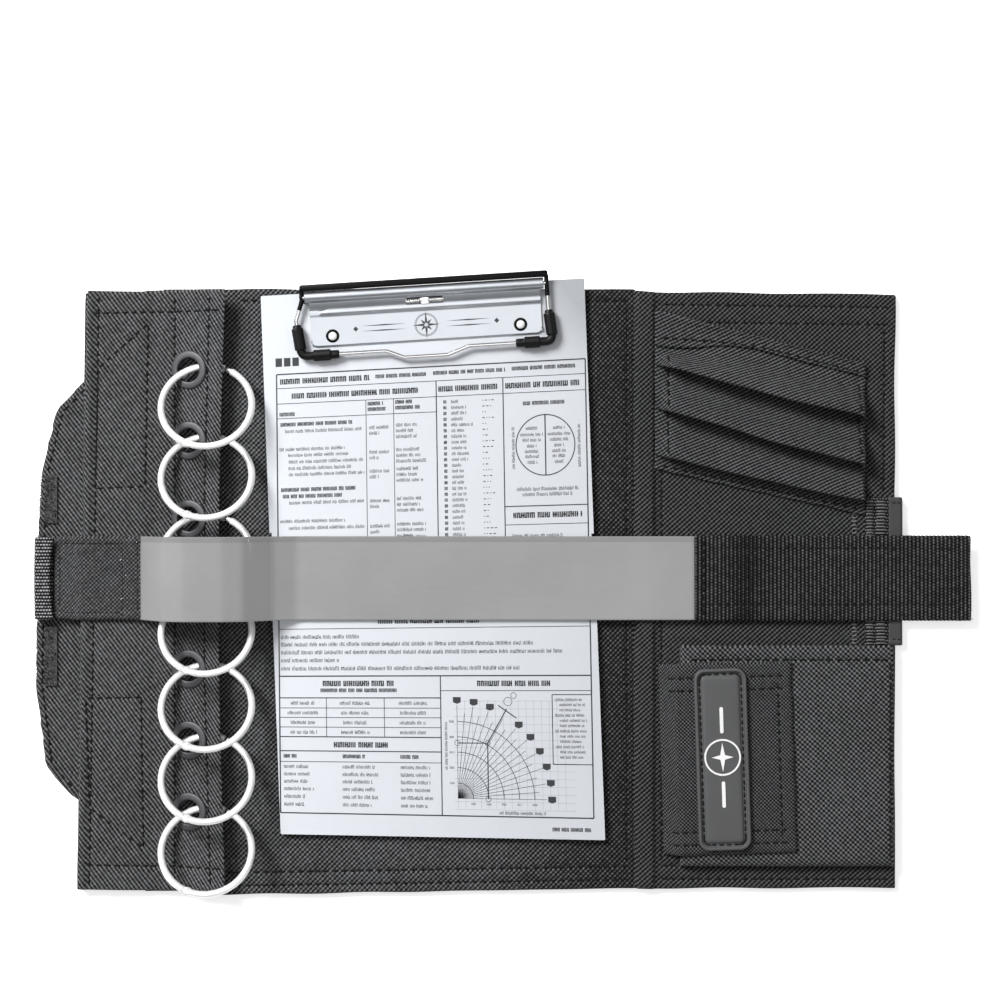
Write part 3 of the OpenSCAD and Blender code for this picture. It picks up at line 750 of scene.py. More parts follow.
end_height = stitched(END_RUNS, end_level, 0.3, 0.6)
X, Y = grid(stops(-205.4, -165.9, 1.2, (-203.2, -174, -167.3)), stops(*STRAP, 1.2, (-13.1, 18.6)))
off = np.abs(Y - STRAP_MID)
inset = 3.5 - np.sqrt(np.clip(3.5 ** 2 - np.clip(off - 15.35, 0, 3.5) ** 2, 0, None))
X = X + inset * np.clip(1 - (X + 205.4) / 12, 0, 1)
P = stack(X, Y, end_height(X, Y) - smooth((off - 18.1) / 0.8) * 0.35)
strap_end = cloth("strap_end_pad", P, 2.1, STRAP_SATIN, "webbing", "left_panel", ["strap_end"])
end_seams = stitches("strap_end_stitches", END_RUNS, end_height, "left_panel", 2.6, 1.9, 0.24)
specks = [tube([(x - s, y - s, 9.0), (x, y, 9.25), (x + s, y + s * 0.6, 9.05)], [0.12, 0.16, 0.1], 6)
          for x, y, s in ((-174.6, 11.2, 0.35), (-174.3, -6.6, 0.4), (-167.3, 19.4, 0.3), (-172.2, 4.1, 0.22))]
thread_ends = mesh("strap_end_thread_ends", join(*specks), MARK, "left_panel")


# ---------------------------------------------------------------- center panel
def center_bottom(x):
    return np.interp(x, (-155.7, -147.6, -141.9, 60.7), (-135, -138.6, -142.8, -139.6))


CENTER_RUNS = seams(((-139, -139.2), (58, -136.1)), ((-143, -133.2), (58, -130.1)), ((-150, -127), (-143.5, -137)),
                    ((-120, 130.4), (58, 130.4)), ((57.4, -128), (57.4, 128)))


def center_level(x, y):
    near = np.exp(-((x + 32) / 70) ** 4 - ((y - 5) / 118) ** 8)
    return PANEL_TOP - 0.12 + wobble(x, y, 55, 0.2, 21) * (1 - near) - 0.15 * near


center_height = stitched(CENTER_RUNS, center_level, 0.4)


def panel(name, x0, x1, low, high, height, material, fine_x, fine_y, wraps, body, nodes):
    """One panel's outer sheet between two edges, turned down over the board on the sides wraps names."""
    rows = (stops(-139.6, 134, 2.6, fine_y) + 139.6) / 273.6
    SX, SY, WX, WY, DX, DY = turned(stops(x0, x1, 2.6, fine_x), rows, wraps, 3.0)
    y = low(SX) + (high(SX) - low(SX)) * SY + WY + wobble(SX, SX * 0, 45, 0.3, 31)
    x = SX + WX + wobble(SY * 270, SY * 0, 60, 0.25, 32) * (np.abs(WX) > 0)
    return cloth(name, stack(x, y, height(x, y) - np.maximum(DX, DY)), 1.1, material, "panel_fabric", body, nodes)


center_cloth = panel("center_cloth", -155.6, 60.5, center_bottom, flat(135.0), center_height, CLOTH_CENTER,
                     (57.4,), (-136.5, -130.8, 130.4), (True, True, True, True), "center_panel",
                     ["center_front_cover"])
center_seams = stitches("center_stitches", CENTER_RUNS, center_height, "center_panel")


def back_cloth(name, x0, x1, low, high, body, node, seed):
    """A panel's back sheet, sewn near its edges."""
    gx, k = grid(stops(x0, x1, 5), np.linspace(0, 1, 56))
    y = low(gx) + (high(gx) - low(gx)) * k
    P = stack(gx, y, 1.12 + wobble(gx, y, 50, 0.04, seed))
    ob = cloth(name, P, 1.05, CLOTH_BACK, "panel_fabric", body, [node])
    a, b = x0 + 4, x1 - 4
    runs = seams(((a, -128), (b, -128)), ((a, 127), (b, 127)), ((a, -126), (a, 125)), ((b, -126), (b, 125)))
    sewn = stitches(name + "_stitches", runs, flat(0.08), body, below=True)


back_cloth("center_back_cloth", -155.4, 60.5, lambda x: center_bottom(x) + 0.3, flat(135), "center_panel",
           "center_back_cover", 41)

# ---------------------------------------------------------------- right panel
RIGHT_RUNS = seams(((73.4, 128.7), (178.5, 127.4)), ((73.4, 120.7), (178.5, 119.4)), ((73, -129.7), (179, -129.9)),
                   ((73, -135.8), (179, -135.9)), ((176.2, 118), (175.8, 42)), ((73.6, 118), (73.6, -128)))


def right_top(x):
    return np.interp(x, (60.7, 70.8, 180.8), (134.4, 133.9, 132.4))


def right_level(x, y):
    ridge = 1.7 * (smooth((x - 61.6) / 1.3) - smooth((x - 69.2) / 2.0))
    strap = np.exp(-((y - STRAP_MID) / 30) ** 4)
    return (PANEL_TOP - 0.1 + ridge + wobble(x, y, 52, 0.2, 51) * (1 - strap) * smooth((x - 70) / 5)
            + wobble(x, y, 24, 0.12, 52) * smooth((70.6 - x) / 3))


right_height = stitched(RIGHT_RUNS, right_level, 0.4)
right_cloth = panel("right_cloth", 60.9, 180.6, flat(-139.5), right_top, right_height, CLOTH_RIGHT,
                    (63.2, 70.2, 73.6, 176), (-135.9, -129.8, 120, 128), (False, True, True, True), None,
                    ("right_front_cover", "right_spine"))
right_seams = stitches("right_stitches", RIGHT_RUNS, right_height)
for piece in (right_cloth, right_seams):
    fold(piece)
back_cloth("right_back_cloth", 71, 180.6, flat(-139.4), lambda x: right_top(x) - 0.2, "right_panel",
           "right_back_cover", 42)

# Pen sleeves: three slanting pleats, each one crowned and open below its lip
SLANT, DOWN = math.tan(math.radians(14.2)), 1 / math.cos(math.radians(14.2))
PEN_SEAMS = (76.4, 164.2)


def pleat_y(x, v):
    """Y at x and at the distance v down from the sleeves' upper edge."""
    return 125 - (x - 70.2) * SLANT - v * DOWN


def arch(x):
    return np.sin((x - SLEEVE_X) / SLEEVE_LONG * math.pi)


def pleat_ends(x):
    return (0.15 + 0.85 * smooth((x - 70.9) / 7.5)) * smooth((167.6 - x) / 2.2) * (1 + 0.1 * arch(x))


def hem_foot(x):
    """Lower edge of the gathered hem above the sleeves, wide at its left end."""
    return 5.2 + 9.5 * smooth((116 - x) / 46)


def sleeve_cloth(name, P, t, nodes=()):
    """A sheet whose weave follows the cloth laid flat: X, and the length run down the grid's second axis."""
    run = np.cumsum(np.linalg.norm(np.diff(P, axis=1, prepend=P[:, :1]), axis=2), axis=1)
    lay = stack(P[:, :, 0], P[:, :1, 1] - run)
    return cloth(name, P[:, ::-1], t, CLOTH_PLEAT, "panel_fabric", "right_panel", nodes, weave=lay[:, ::-1])


def pleat(i, v0, v1, lip, tilt, seed):
    """A sleeve from its seam at v0, under the lip above, to its own lip at v1, which drops by tilt to the right."""
    lip_rows = v1 - 1.2 + 1.2 * np.sin(np.linspace(0.2, 1, 6) * math.pi / 2)
    v = np.concatenate([np.linspace(v0, v1 - 1.2, 18), lip_rows])
    X, V = grid(stops(70.9, 167.2, 1.6, (72.2, 76.4, 164.2, 166.4)), v)

    def level(x, v_):
        begin = hem_foot(x) - 2 if i == 1 else v0
        t = np.clip((v_ - begin) / (v1 - begin), 0, 1)
        return 5.65 + lip * np.sin(t * math.pi / 2) ** 3.2 * pleat_ends(x)

    turn = np.clip((V - (v1 - 1.2)) / 1.2, 0, 1)
    soft = wobble(X, V, 34, 0.35, seed) + wobble(X, V, 13, 0.12, seed + 1)
    z = level(X, V) - 0.9 * turn ** 3 + soft * pleat_ends(X)
    for at in PEN_SEAMS:
        z = z - 0.45 * ridge_at(X, at, 0.8)
    share = (V - v0) / (v1 - v0)
    bow = 0.9 * arch(X) * share + wobble(X, V, 40, 0.35, seed + 2) + tilt * (X - SLEEVE_X) / SLEEVE_LONG * share
    nodes = [f"pen_sleeve_{i}"] + ["pen_sleeve_seams"] * (i == 1)
    ob = sleeve_cloth(f"pen_pleat_{i}", stack(X, pleat_y(X, V + bow), z), 1.0, nodes)
    runs = seams(*(((x, float(pleat_y(x, (v0 if i > 1 else hem_foot(x)) + 3))), (x, float(pleat_y(x, v1 - 1.6))))
                   for x in PEN_SEAMS))
    sewn = stitches(f"pen_pleat_{i}_stitches", runs,
                    lambda x, y: level(x, (125 - (x - 70.2) * SLANT - y) / DOWN) - 0.3, "right_panel")


pleat(1, 1.5, 23.4, 11.0, 0, 61)
pleat(2, 20.4, 42.6, 10.6, 2.2, 64)
pleat(3, 39.6, 63.6, 7.6, -3.0, 67)


def hem_strip(name, low, high, z, seed):
    """A gathered strip of doubled cloth with rolled edges and a row of stitches."""
    X, K = grid(stops(70.9, 166.8, 0.9), np.linspace(0, 1, 14))
    V = low(X) + (high(X) - low(X)) * K
    gather = wobble(X * 1.6 + V, V, 4.5, 0.22, seed) * np.sin(K * math.pi) ** 0.5
    roll = 0.55 * ridge_at(K, 0.1, 0.09) + 0.45 * ridge_at(K, 0.93, 0.07)
    ob = sleeve_cloth(name, stack(X, pleat_y(X, V + wobble(X, V, 11, 0.25, seed + 1)), z + gather + roll), 1.1)
    seam_at = [(x, float(pleat_y(x, low(x) * 0.25 + high(x) * 0.75))) for x in (73, 95, 118, 142, 165)]
    sewn = stitches(name + "_stitches", seams(seam_at), flat(z - 0.05), "right_panel")


hem_strip("pen_top_hem", flat(-0.9), hem_foot, 6.7, 70)
hem_strip("pen_hem", lambda x: 61.4 - 2.0 * (x - SLEEVE_X) / SLEEVE_LONG,
          lambda x: 69.8 - 3.2 * (x - SLEEVE_X) / SLEEVE_LONG, 5.6, 73)

# Pocket: one sheet whose sides turn down as gussets, open along its top hem
gx = np.concatenate([[82.1] * 3, [82.3, 82.9, 83.9], np.linspace(85.2, 177.1, 44), [178.3, 179.3, 180.0],
                     [180.2] * 3])
gy = np.concatenate([[-129.7] * 2, [-129.4, -128.6, -127.2], np.linspace(-125, -36.5, 42),
                     [-35.2, -34.6, -34.0, -31, -29.4, -28.4]])
side = [5.3, 3.6, 2.0, 1.1, 0.5, 0.15]
drop_x = np.concatenate([side, np.zeros(44), side[::-1]])
drop_y = np.concatenate([[5.2, 3.2, 1.7, 0.7, 0.2], np.zeros(42), [0.05, 0.35, 0.05, 0, 0.1, 0.35]])
X, Y = grid(gx, gy)
full = np.sin(np.clip((X - 82.1) / 98.1, 0, 1) * math.pi) ** 0.6
Z = 9.75 - 0.5 * (1 - full) - np.maximum(*grid(drop_x, drop_y)) + wobble(X, Y, 46, 0.25, 81) * full
X = (X + wobble(Y, Y * 0, 38, 0.5, 82) * (X < 84)
     - 1.1 * np.sin(np.clip((Y + 129) / 100, 0, 1) * math.pi * 2) * (X < 83.5) * 0.4)
pocket = cloth("pocket_cloth", stack(X, Y, Z), 1.1, CLOTH_POCKET, "panel_fabric", "right_panel",
               ("pocket_front", "pocket_gusset"))
pocket_runs = seams(((86, -34.6), (177.5, -34.6)), ((178.2, -36), (178.2, -126)))
pocket_seams = stitches("pocket_stitches", pocket_runs, flat(9.55), "right_panel")

# Pocket flap with its stitched hems
FLAP = Matrix.Translation((75.2, -124.2, 0)) @ Matrix.Rotation(math.radians(1.8), 4, "Z")
FLAP_RUNS = seams(*(((3, y), (56.5, y)) for y in (80.8, 75, 4.4, 10.2)), ((53.6, 78), (53.6, 7)))


def flap_level(x, y):
    rise = smooth((x - 0.6) / 6.2)
    return 6.3 + 5.35 * rise + wobble(x, y, 30, 0.16, 91) * rise - 0.25 * np.exp(-((x - 27.2) / 12) ** 4)


def onto(ob, matrix, body):
    """Puts a piece made flat, in its own frame, where matrix says."""
    at = matrix.copy()
    at.translation *= MM
    ob.data.transform(at)
    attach(ob, body)
    return ob


flap_height = stitched(FLAP_RUNS, flap_level, 0.35, 0.7)
X, Y = grid(stops(0, 60, 1.3, (53.6,)), stops(0, 87, 1.5, (4.4, 10.2, 75, 80.8)))
edge = 0.35 * (smooth((X - 58.8) / 1.1) + smooth((Y - 85.9) / 1.1) + smooth((1.1 - Y) / 1.1))
P = homogeneous(X + wobble(Y, Y * 0, 25, 0.3, 92) * (X > 40), Y + wobble(X, X * 0, 25, 0.25, 93),
                flap_height(X, Y) - edge, FLAP)
flap_cloth = cloth("pocket_flap_cloth", P, 1.3, CLOTH_FLAP, "panel_fabric", "pocket_flap", ["pocket_flap"])
flap_stitch = onto(stitches("pocket_flap_stitches", FLAP_RUNS, flap_height), FLAP, "pocket_flap")

# Moulded badge: rim, stitched channel, plateau and a plain compass star
BADGE_AT = FLAP @ Matrix.Translation((27.2, 43.4, 0))
BADGE_STEPS = ((0, 11.6), (0, 13.4), (0.15, 13.85), (0.5, 14.05), (1.1, 14.05), (1.45, 13.85), (1.6, 13.4),
               (1.7, 12.95), (2.1, 12.8), (2.9, 12.8), (3.3, 12.95), (3.45, 13.25), (3.8, 13.5), (5, 13.58),
               (8, 13.6))
moulding = loft([[(x, y, z) for x, y in round_box(24 - 2 * inset, 83 - 2 * inset, max(0.4, 5 - inset), 7)]
                 for inset, z in BADGE_STEPS])
mesh("flap_badge_moulding", moved(moulding, BADGE_AT), BADGE, "pocket_flap", ["flap_badge"], 50)
channel = round_box(24 - 5, 83 - 5, 2.6, 3)
badge_runs = [(a, b) for a, b in seams(channel + channel[:1]) if math.dist(a, b) > 0.4]
onto(stitches("flap_badge_stitches", badge_runs, flat(12.9), pitch=3.0, long=2.5, r=0.36),
     BADGE_AT, "pocket_flap")
marks = [slab(point, 13.3, 13.95) for point in star(4, 1.5, (5.0, 6.6))]
marks += [lathe([(7.6, 13.4), (8.4, 13.4), (8.4, 13.9), (7.6, 13.9)], 40, True)]
marks += [slab(round_box(1.6, 12, 0.7, 3, (0, y)), 13.3, 13.85) for y in (-17, 17)]
marks = moved(join(*marks), BADGE_AT @ Matrix.Translation((0, 1, 0)))
mesh("flap_badge_star", marks, MARK, "pocket_flap", sharp=30)

# ---------------------------------------------------------------- keeper, its tape and the strap's tail
X, Y = grid(np.linspace(167.7, 178.1, 24), np.linspace(-27.9, 39.5, 240))
Z = 5.45 + 0.1 * np.cos(Y / 1.45 * 2 * math.pi) - 0.3 * ridge_at(X, 171.6, 0.5)
P = stack(X + wobble(Y, Y * 0, 14, 0.12, 101), Y, Z)
keeper = cloth("keeper_web", P, 1.1, WEB_KEEPER, "webbing", "right_panel", ["strap_keeper"])
bars, rnd = [], np.random.default_rng(19)
for x0, x1, z, pace in ((161.4, 163.5, 4.5, 1.75), (168.0, 170.8, 5.6, 1.45), (172.5, 176.3, 5.6, 1.45)):
    for y in np.arange(-27.3, 39.2, pace):
        y, ends = y + rnd.normal(0, 0.08), rnd.normal(0, 0.14, 4)
        bars.append(tube([(x0 + ends[0], y + ends[1], z - 0.3), (x0 + 0.6, y, z), (x1 - 0.6, y, z),
                          (x1 + ends[2], y + ends[3], z - 0.3)], [0.3, 0.36, 0.36, 0.3], 8))
tacks = mesh("keeper_bar_tacks", join(*bars), BAR_THREAD, "right_panel")
px, pz = section([(178.3, 5.75), (184.5, 5.75), (184.5, 0.2)], 1.6, 6, 0.5)
PX, GY = grid(px, stops(-27.9, 39.5, 1.6, (37.4, -25.6)))
PZ, _ = grid(pz, GY[0])
hem = 0.25 * (smooth((GY - 37.2) / 0.6) + smooth((-25.4 - GY) / 0.6)) * np.clip((PZ - 4) / 1.7, 0, 1)
P = stack(PX + wobble(GY, GY * 0, 20, 0.15, 102), GY, PZ + hem)
tape = cloth("keeper_tape_cloth", P, 1.0, TAPE, "webbing", "right_panel", ["keeper_tape"])
tape_runs = seams(*(((179.2, y), (184, y)) for y in (37.3, -25.4)))
tape_seams = stitches("keeper_tape_stitches", tape_runs, flat(5.8), "right_panel", 2.2, 1.6, 0.22)
TAIL_RUNS = seams(((95, 16.9), (208, 16.2)), ((95, -9.2), (208, -9.3)), ((92.6, 20.4), (92.6, -14.8)),
                  ((210.4, 20.3), (210.4, -14.8)))
TAIL_PITCH = 1.82


def tail_level(x, y):
    edge = np.exp(-((np.abs(y - STRAP_MID) - 18.6) / 0.9) ** 2) * 0.25
    rib = 0.17 * np.cos(x / TAIL_PITCH * 2 * math.pi)
    hem = 0.85 * (1 - smooth((x - 92.8) / 1.2)) - 0.1 * smooth((x - 209) / 1.5)
    return 8.2 + rib - edge + hem + wobble(x, y, 42, 0.14, 111)


tail_height = stitched(TAIL_RUNS, tail_level, 0.45, 0.7)
rows = np.concatenate([[-16.1, -15.8], np.linspace(-15.2, 20.7, 26), [21.3, 21.6]])
X, Y = grid(np.arange(88.7, 214.5, 0.32), rows)
ripple = 0.12 * np.sin(X / TAIL_PITCH * 2 * math.pi) * (np.abs(Y - STRAP_MID) > 18)
P = stack(X - 0.25 * np.sin((Y - 2) / 6) * (X > 212), Y + ripple, tail_height(X, Y))
tail = cloth("strap_tail_web", P, 1.7, WEB_TAIL, "webbing", "strap_tail", ["strap_tail"])
tail_seams = stitches("strap_tail_stitches", TAIL_RUNS, tail_height, "strap_tail", 3.4, 2.7, 0.42)
frays, rnd = [], np.random.default_rng(23)
for _ in range(34):
    y = -16.0 + rnd.exponential(2.2)
    out, side, up = rnd.uniform(0.5, 2.0), rnd.normal(-0.5, 0.7), rnd.uniform(-0.6, 0.5)
    frays.append(tube([(214.2, y, 7.4), (214.4 + out * 0.6, y + side * 0.4, 7.4 + up * 0.6),
                       (214.4 + out, y + side, 7.3 + up)], [0.09, 0.08, 0.04], 4))
fray = mesh("strap_tail_frays", join(*frays), THREAD, "strap_tail")
under = flat_sheet("strap_tail_hem", 209.5, 214.4, -15.9, 21.4, 6.4, 1.2, 0.04, 1, False,
                   0.9, WEB_TAIL, "webbing", "strap_tail")
for paint, names in ((FUZZ, ("tail_loop_pad", "tail_hook_pad", "plate_pads")),
                     (CARD, ("left_board", "center_board", "right_board")), (PLATE, ("clipboard_plate",))):
    for node in names:
        NODES[node].data.materials[0] = paint

# ---------------------------------------------------------------- frosted band over the rings and the plate
band_x, band_z = section([(-165.8, 7.35), (-160.5, 15), (-153, 26.5), (-144, 30.4), (-126, 30.4), (-117, 27),
                          (-104, 13.5), (-94, 8.45), (40, 8.45), (58, 8.05), (88.5, 7.1)], 7, 8, 1.4)


def band_part(name, x0, x1):
    inside = (band_x > x0 + 0.3) & (band_x < x1 - 0.3)
    bx = np.concatenate([[x0], band_x[inside], [x1]])
    X, Y = grid(bx, np.concatenate([[-16.1, -15.7], np.linspace(-15, 20.5, 24), [21.2, 21.6]]))
    Z, _ = grid(np.interp(bx, band_x, band_z), Y[0])
    rise = np.clip((Z - 8) / 22, 0, 1)
    Z = Z + 1.1 + wobble(X, Y, 60, 0.12, 121) - 0.35 * rise * ((Y - STRAP_MID) / 18.8) ** 2
    ob = cloth(name, stack(X, Y, Z), 0.9, FROST, "frosted_band")
    fold(ob)
    return ob


band_part("strap_band_left", -165.7, -105.6)
band_right = band_part("strap_band_right", -105.6, 88.5)
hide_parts("strap_band")

# ---------------------------------------------------------------- the plate's print
CORNERS = ((-103.3, 96.1), (38.4, 103.5), (-101.4, -104.9), (42.4, -107.6))
W, H = 143.0, 205.0
C1, C2, C3, C4 = 41.2, 54.0, 73.8, 104.7


def on_plate(x, y):
    """A point of the print, x to the right and y down from the frame's upper left corner, on the plate."""
    (tl, tr, bl, br), a, b = CORNERS, x / W, y / H
    top, low = ([p[k] + (q[k] - p[k]) * a for k in (0, 1)] for p, q in ((tl, tr), (bl, br)))
    return [top[k] + (low[k] - top[k]) * b for k in (0, 1)]


class Print:
    """Flat marks just above the plate."""

    def __init__(self, z):
        self.verts, self.faces, self.z = [], [], z

    def poly(self, pts):
        base = len(self.verts)
        self.verts += [(*on_plate(x, y), self.z) for x, y in pts]
        self.faces.append([base + k for k in range(len(pts))][::-1])

    def line(self, x0, y0, x1, y1, w):
        length = math.hypot(x1 - x0, y1 - y0)
        nx, ny = -(y1 - y0) / length * w / 2, (x1 - x0) / length * w / 2
        self.poly([(x0 + nx, y0 + ny), (x1 + nx, y1 + ny), (x1 - nx, y1 - ny), (x0 - nx, y0 - ny)])

    def arc(self, cx, cy, r, a1, w=0.25, n=36):
        for k in range(n):
            p, q = (math.radians(a1 * (k + d) / n) for d in (0, 1))
            self.line(cx + r * math.cos(p), cy - r * math.sin(p), cx + r * math.cos(q), cy - r * math.sin(q), w)

    def bar(self, x0, x1, y0, y1, turn):
        pts = [(x0, y0), (x1, y0), (x1, y1), (x0, y1)]
        self.poly(pts if turn is None else [(turn[0] + y, turn[1] - x) for x, y in pts][::-1])

    def words(self, x0, x1, y, h=1.5, bold=False, turn=None):
        """A row of word-like marks from x0 to x1: upright bars of uneven height, which spell nothing.

        turn is where a row that reads upwards begins."""
        x, left = x0, 0
        w, gap = (h * 0.25, h * 0.09) if bold else (h * 0.15, h * 0.18)
        while x < x1 - w:
            if left <= 0:
                left = int(rnd.integers(4, 15))
                x += h * (0.4 if x > x0 else 0)
            top, low = y - h / 2 * (1 if bold else rnd.choice((0.55, 0.6, 1))), y + h / 2
            self.bar(x, x + w, top, low, turn)
            if rnd.random() < 0.45:
                level = (top, (top + low) / 2, low)[int(rnd.integers(0, 3))]
                level = min(max(level, top + w / 2), low - w / 2)
                self.bar(x, x + w + gap, level - w / 2, level + w / 2, turn)
            x += w + gap
            left -= 1


rnd = np.random.default_rng(5)
ink, grey = Print(PLATE_TOP + 0.03), Print(PLATE_TOP + 0.02)
EDGES = (0, 0, W, 0), (0, H, W, H), (0, 0, 0, H), (W, 0, W, H), (0, 141.2, W, 141.2)
STRONG = ((C3, 6.6, C3, 112.7), (C4, 6.6, C4, 112.7), (C4, 64.9, W, 64.9), (0, 112.7, W, 112.7), (C3, 141.2, C3, H),
          (0, 151.3, C3, 151.3), (0, 169.4, C3, 169.4), (0, 176, C3, 176))
FINE = ((0, 6.6, W, 6.6), (0, 13.8, W, 13.8), (0, 20.7, C3, 20.7), (C1, 13.8, C1, 112.7), (C2, 13.8, C2, 112.7),
        (C4, 73.2, W, 73.2), (0, 119.2, W, 119.2), (C3, 148, W, 148), (0, 156, C3, 156), (0, 160.4, C3, 160.4),
        (0, 164.9, C3, 164.9), (21.4, 151.3, 21.4, 169.4), (47.9, 151.3, 47.9, 169.4), (0, 181, C3, 181))
for width, lines in ((0.6, EDGES), (0.5, STRONG), (0.32, FINE)):
    for line in lines:
        ink.line(*line, width)
for k in range(3):
    ink.bar(-0.4 + k * 3.9, 2.6 + k * 3.9, -7.6, -3.6, None)
# Rows of marks that spell nothing: left end, right end and height on the plate
LARGE_ROWS = ((1.6, 43.6, 3.5), (6.9, 65.9, 10.4), (74.8, 102.8, 10.4), (105.8, 140.5, 10.4), (108.5, 139.5, 69),
              (45.5, 92.7, 115.9), (19.8, 52.7, 144.6), (24.6, 50.1, 173), (90.6, 124.8, 144.7))
SMALL_ROWS = ((45.8, 69.4, 3.2), (72.5, 105.4, 3), (108.9, 138.7, 2.8), (1.6, 34.7, 23.6), (1.6, 36, 54.1),
              (2.4, 30, 57.2), (42, 48.5, 15.6), (42, 50.6, 18.2), (54.8, 63, 15.4), (54.8, 66.5, 18),
              (1.2, 8.6, 18.8), (113.8, 133, 18.7), (18.8, 54, 147.8), (1.6, 7.6, 178.4), (28.6, 39, 178.4),
              (55, 63.3, 178.4), (1.6, 34, 86))
PALE_ROWS = ((3.7, 39, 26.8), (1.1, 31, 35.2), (5, 33, 38), (5.3, 39.8, 41.1), (5.1, 34, 44.1), (5.3, 39.8, 47),
             (5.3, 39.6, 60.2), (1.1, 31, 68.8), (5, 39.6, 72), (5, 39.6, 77.8), (3, 38, 89.6),
             (1.5, 20, 103), (110.4, 139, 57.3), (113, 136, 59.7), (108, 131, 78.2))
for h, bold, rows in ((2.5, True, LARGE_ROWS), (1.75, True, SMALL_ROWS), (1.6, False, PALE_ROWS)):
    for x0, x1, y in rows:
        ink.words(x0, x1, y, h, bold)
for y in (26.6, 37.9, 46.7, 60.4, 72.1, 78, 89, 103):
    ink.words(42.6, 51.6, y, 1.6)
    ink.words(42.6, 47, y + 2.6, 1.6)
    for k in range(3):
        ink.words(55, 62 + 8 * rnd.random(), y - 0.7 + k * 2.65, 1.6)
for k in range(36):
    x, y = 95, 16.4 + k * 2.63
    ink.words(77, 78.4, y, 1.5, True)
    ink.words(80.6, 84 + 7 * rnd.random(), y)
    for _ in range(int(rnd.integers(2, 5))):
        dash = 1.1 if rnd.random() < 0.4 else 0.45
        ink.line(x, y, x + dash, y, 0.42)
        x += dash + 0.75
for half, y in zip((2.6, 5.2, 4.2, 2.2, 3.3, 3.1, 2.0), (30, 32.8, 35.3, 37.9, 40.4, 42.7, 45.3)):
    for x in (117.6, 130.2):
        ink.words(x - half, x + half, y)
for y in (82.5, 85, 89, 91.6, 95.8, 98.3, 102.4, 105):
    ink.words(106.5, 133 + 4 * rnd.random(), y)
ink.arc(123.9, 37.7, 13.6, 360, 0.5, 60)
ink.line(123.9, 24.1, 123.9, 51.3, 0.6)
for x in (109, 139.4):
    ink.words(0, 19, 0, 1.4, False, (x, 48))
for x, y in ((37, 122.9), (117, 126.4), (130, 130.1), (27.8, 133.8), (110.6, 137.6)):
    ink.words(0.9, x, y, 1.85)
for y in (153.7, 158.2, 162.7, 167.2):
    for x in (10.6, 34.5, 61):
        half = 5 + 2.2 * rnd.random()
        ink.words(x - half, x + half, y, 1.7)
for y in (183.2, 186.7, 190.1, 193.6, 197.2, 200.8):
    for x, w in ((1.7, 12), (28.5, 17), (55.1, 14)):
        ink.words(x, x + w * (0.75 + 0.35 * rnd.random()), y, 1.7)
ink.words(124, 142, 210.3, 1.7, True)

# Wind chart: a quarter circle of rays and arcs over a grid, with its origin at OX, OY
OX, OY = 81.2, 197.0
for k in range(15):
    step = 3.52 * k
    grey.line(OX + step, 152.3, OX + step, 201.5, 0.16)
    grey.line(OX - 1.5, 202 - step, 135, 202 - step, 0.16)
for k in range(1, 6):
    r = 7.0 * k
    ink.arc(OX, OY, r, 90, 0.3)
    ink.words(OX + r - 1, OX + r + 1, 199.4, 1.1)
    ink.words(OX - 3.6, OX - 1.6, OY - r, 1.1)
for k in range(19):
    y, x = polar(1, math.radians(5 * k))
    far = (39.0 if k % 2 else 42.5) - 0.6 * k / 6
    ink.line(OX, OY, OX + far * x, OY - far * y, 0.22)
    if k % 2 == 0 and k != 6:
        cx, cy = OX + (far + 2.2) * x, OY - (far + 2.2) * y
        ink.poly([(cx + x, cy + y) for x, y in ((-1.8, -1.4), (1.8, -1.4), (1.8, 1), (0, 1.7), (-1.8, 1))])
for x0, y0, x1, y1, w in ((0, 171.8, 13.8, 171.8, 0.45), (13.8, 171.8, 13.8, OY, 0.45),
                          (13.8, 171.8, 22.8, 156.2, 0.5), (18.8, 154.6, 27.2, 160.4, 0.5)):
    ink.line(OX + x0, y0, OX + x1, y1, w)
for x, y, r in ((23.4, 152.9, 1.9), (26, 150.2, 1.3), (0, 171.8, 1.2), (13.8, 171.8, 1.2), (13.8, OY + 0.2, 1.2)):
    ink.arc(OX + x, y, r, 360, 0.25, 16)
for line in ((124.9, 149.8, W, 149.8), (124.9, 149.8, 124.9, 181.1), (124.9, 181.1, W, 181.1)):
    ink.line(*line, 0.4)
for k in range(12):
    ink.words(126.2 + (2 if k % 3 else 0), 137 + 4 * rnd.random(), 152 + k * 2.35, 1.25)
ink.words(0, 22, 0, 1.3, False, (76, 184))
ink.words(100, 121, 203.3)
for made, name, paint in ((ink, "plate_print", INK), (grey, "plate_print_grid", INK_GREY)):
    mesh(name, (made.verts, made.faces), paint, "center_panel")

# ---------------------------------------------------------------- clip, made flat round its own origin
def on_clip(name, parts, paint, slot, *nodes, body="center_panel", sharp=50):
    mesh(name, moved(join(*parts), CLIP), paint, body, nodes, sharp)


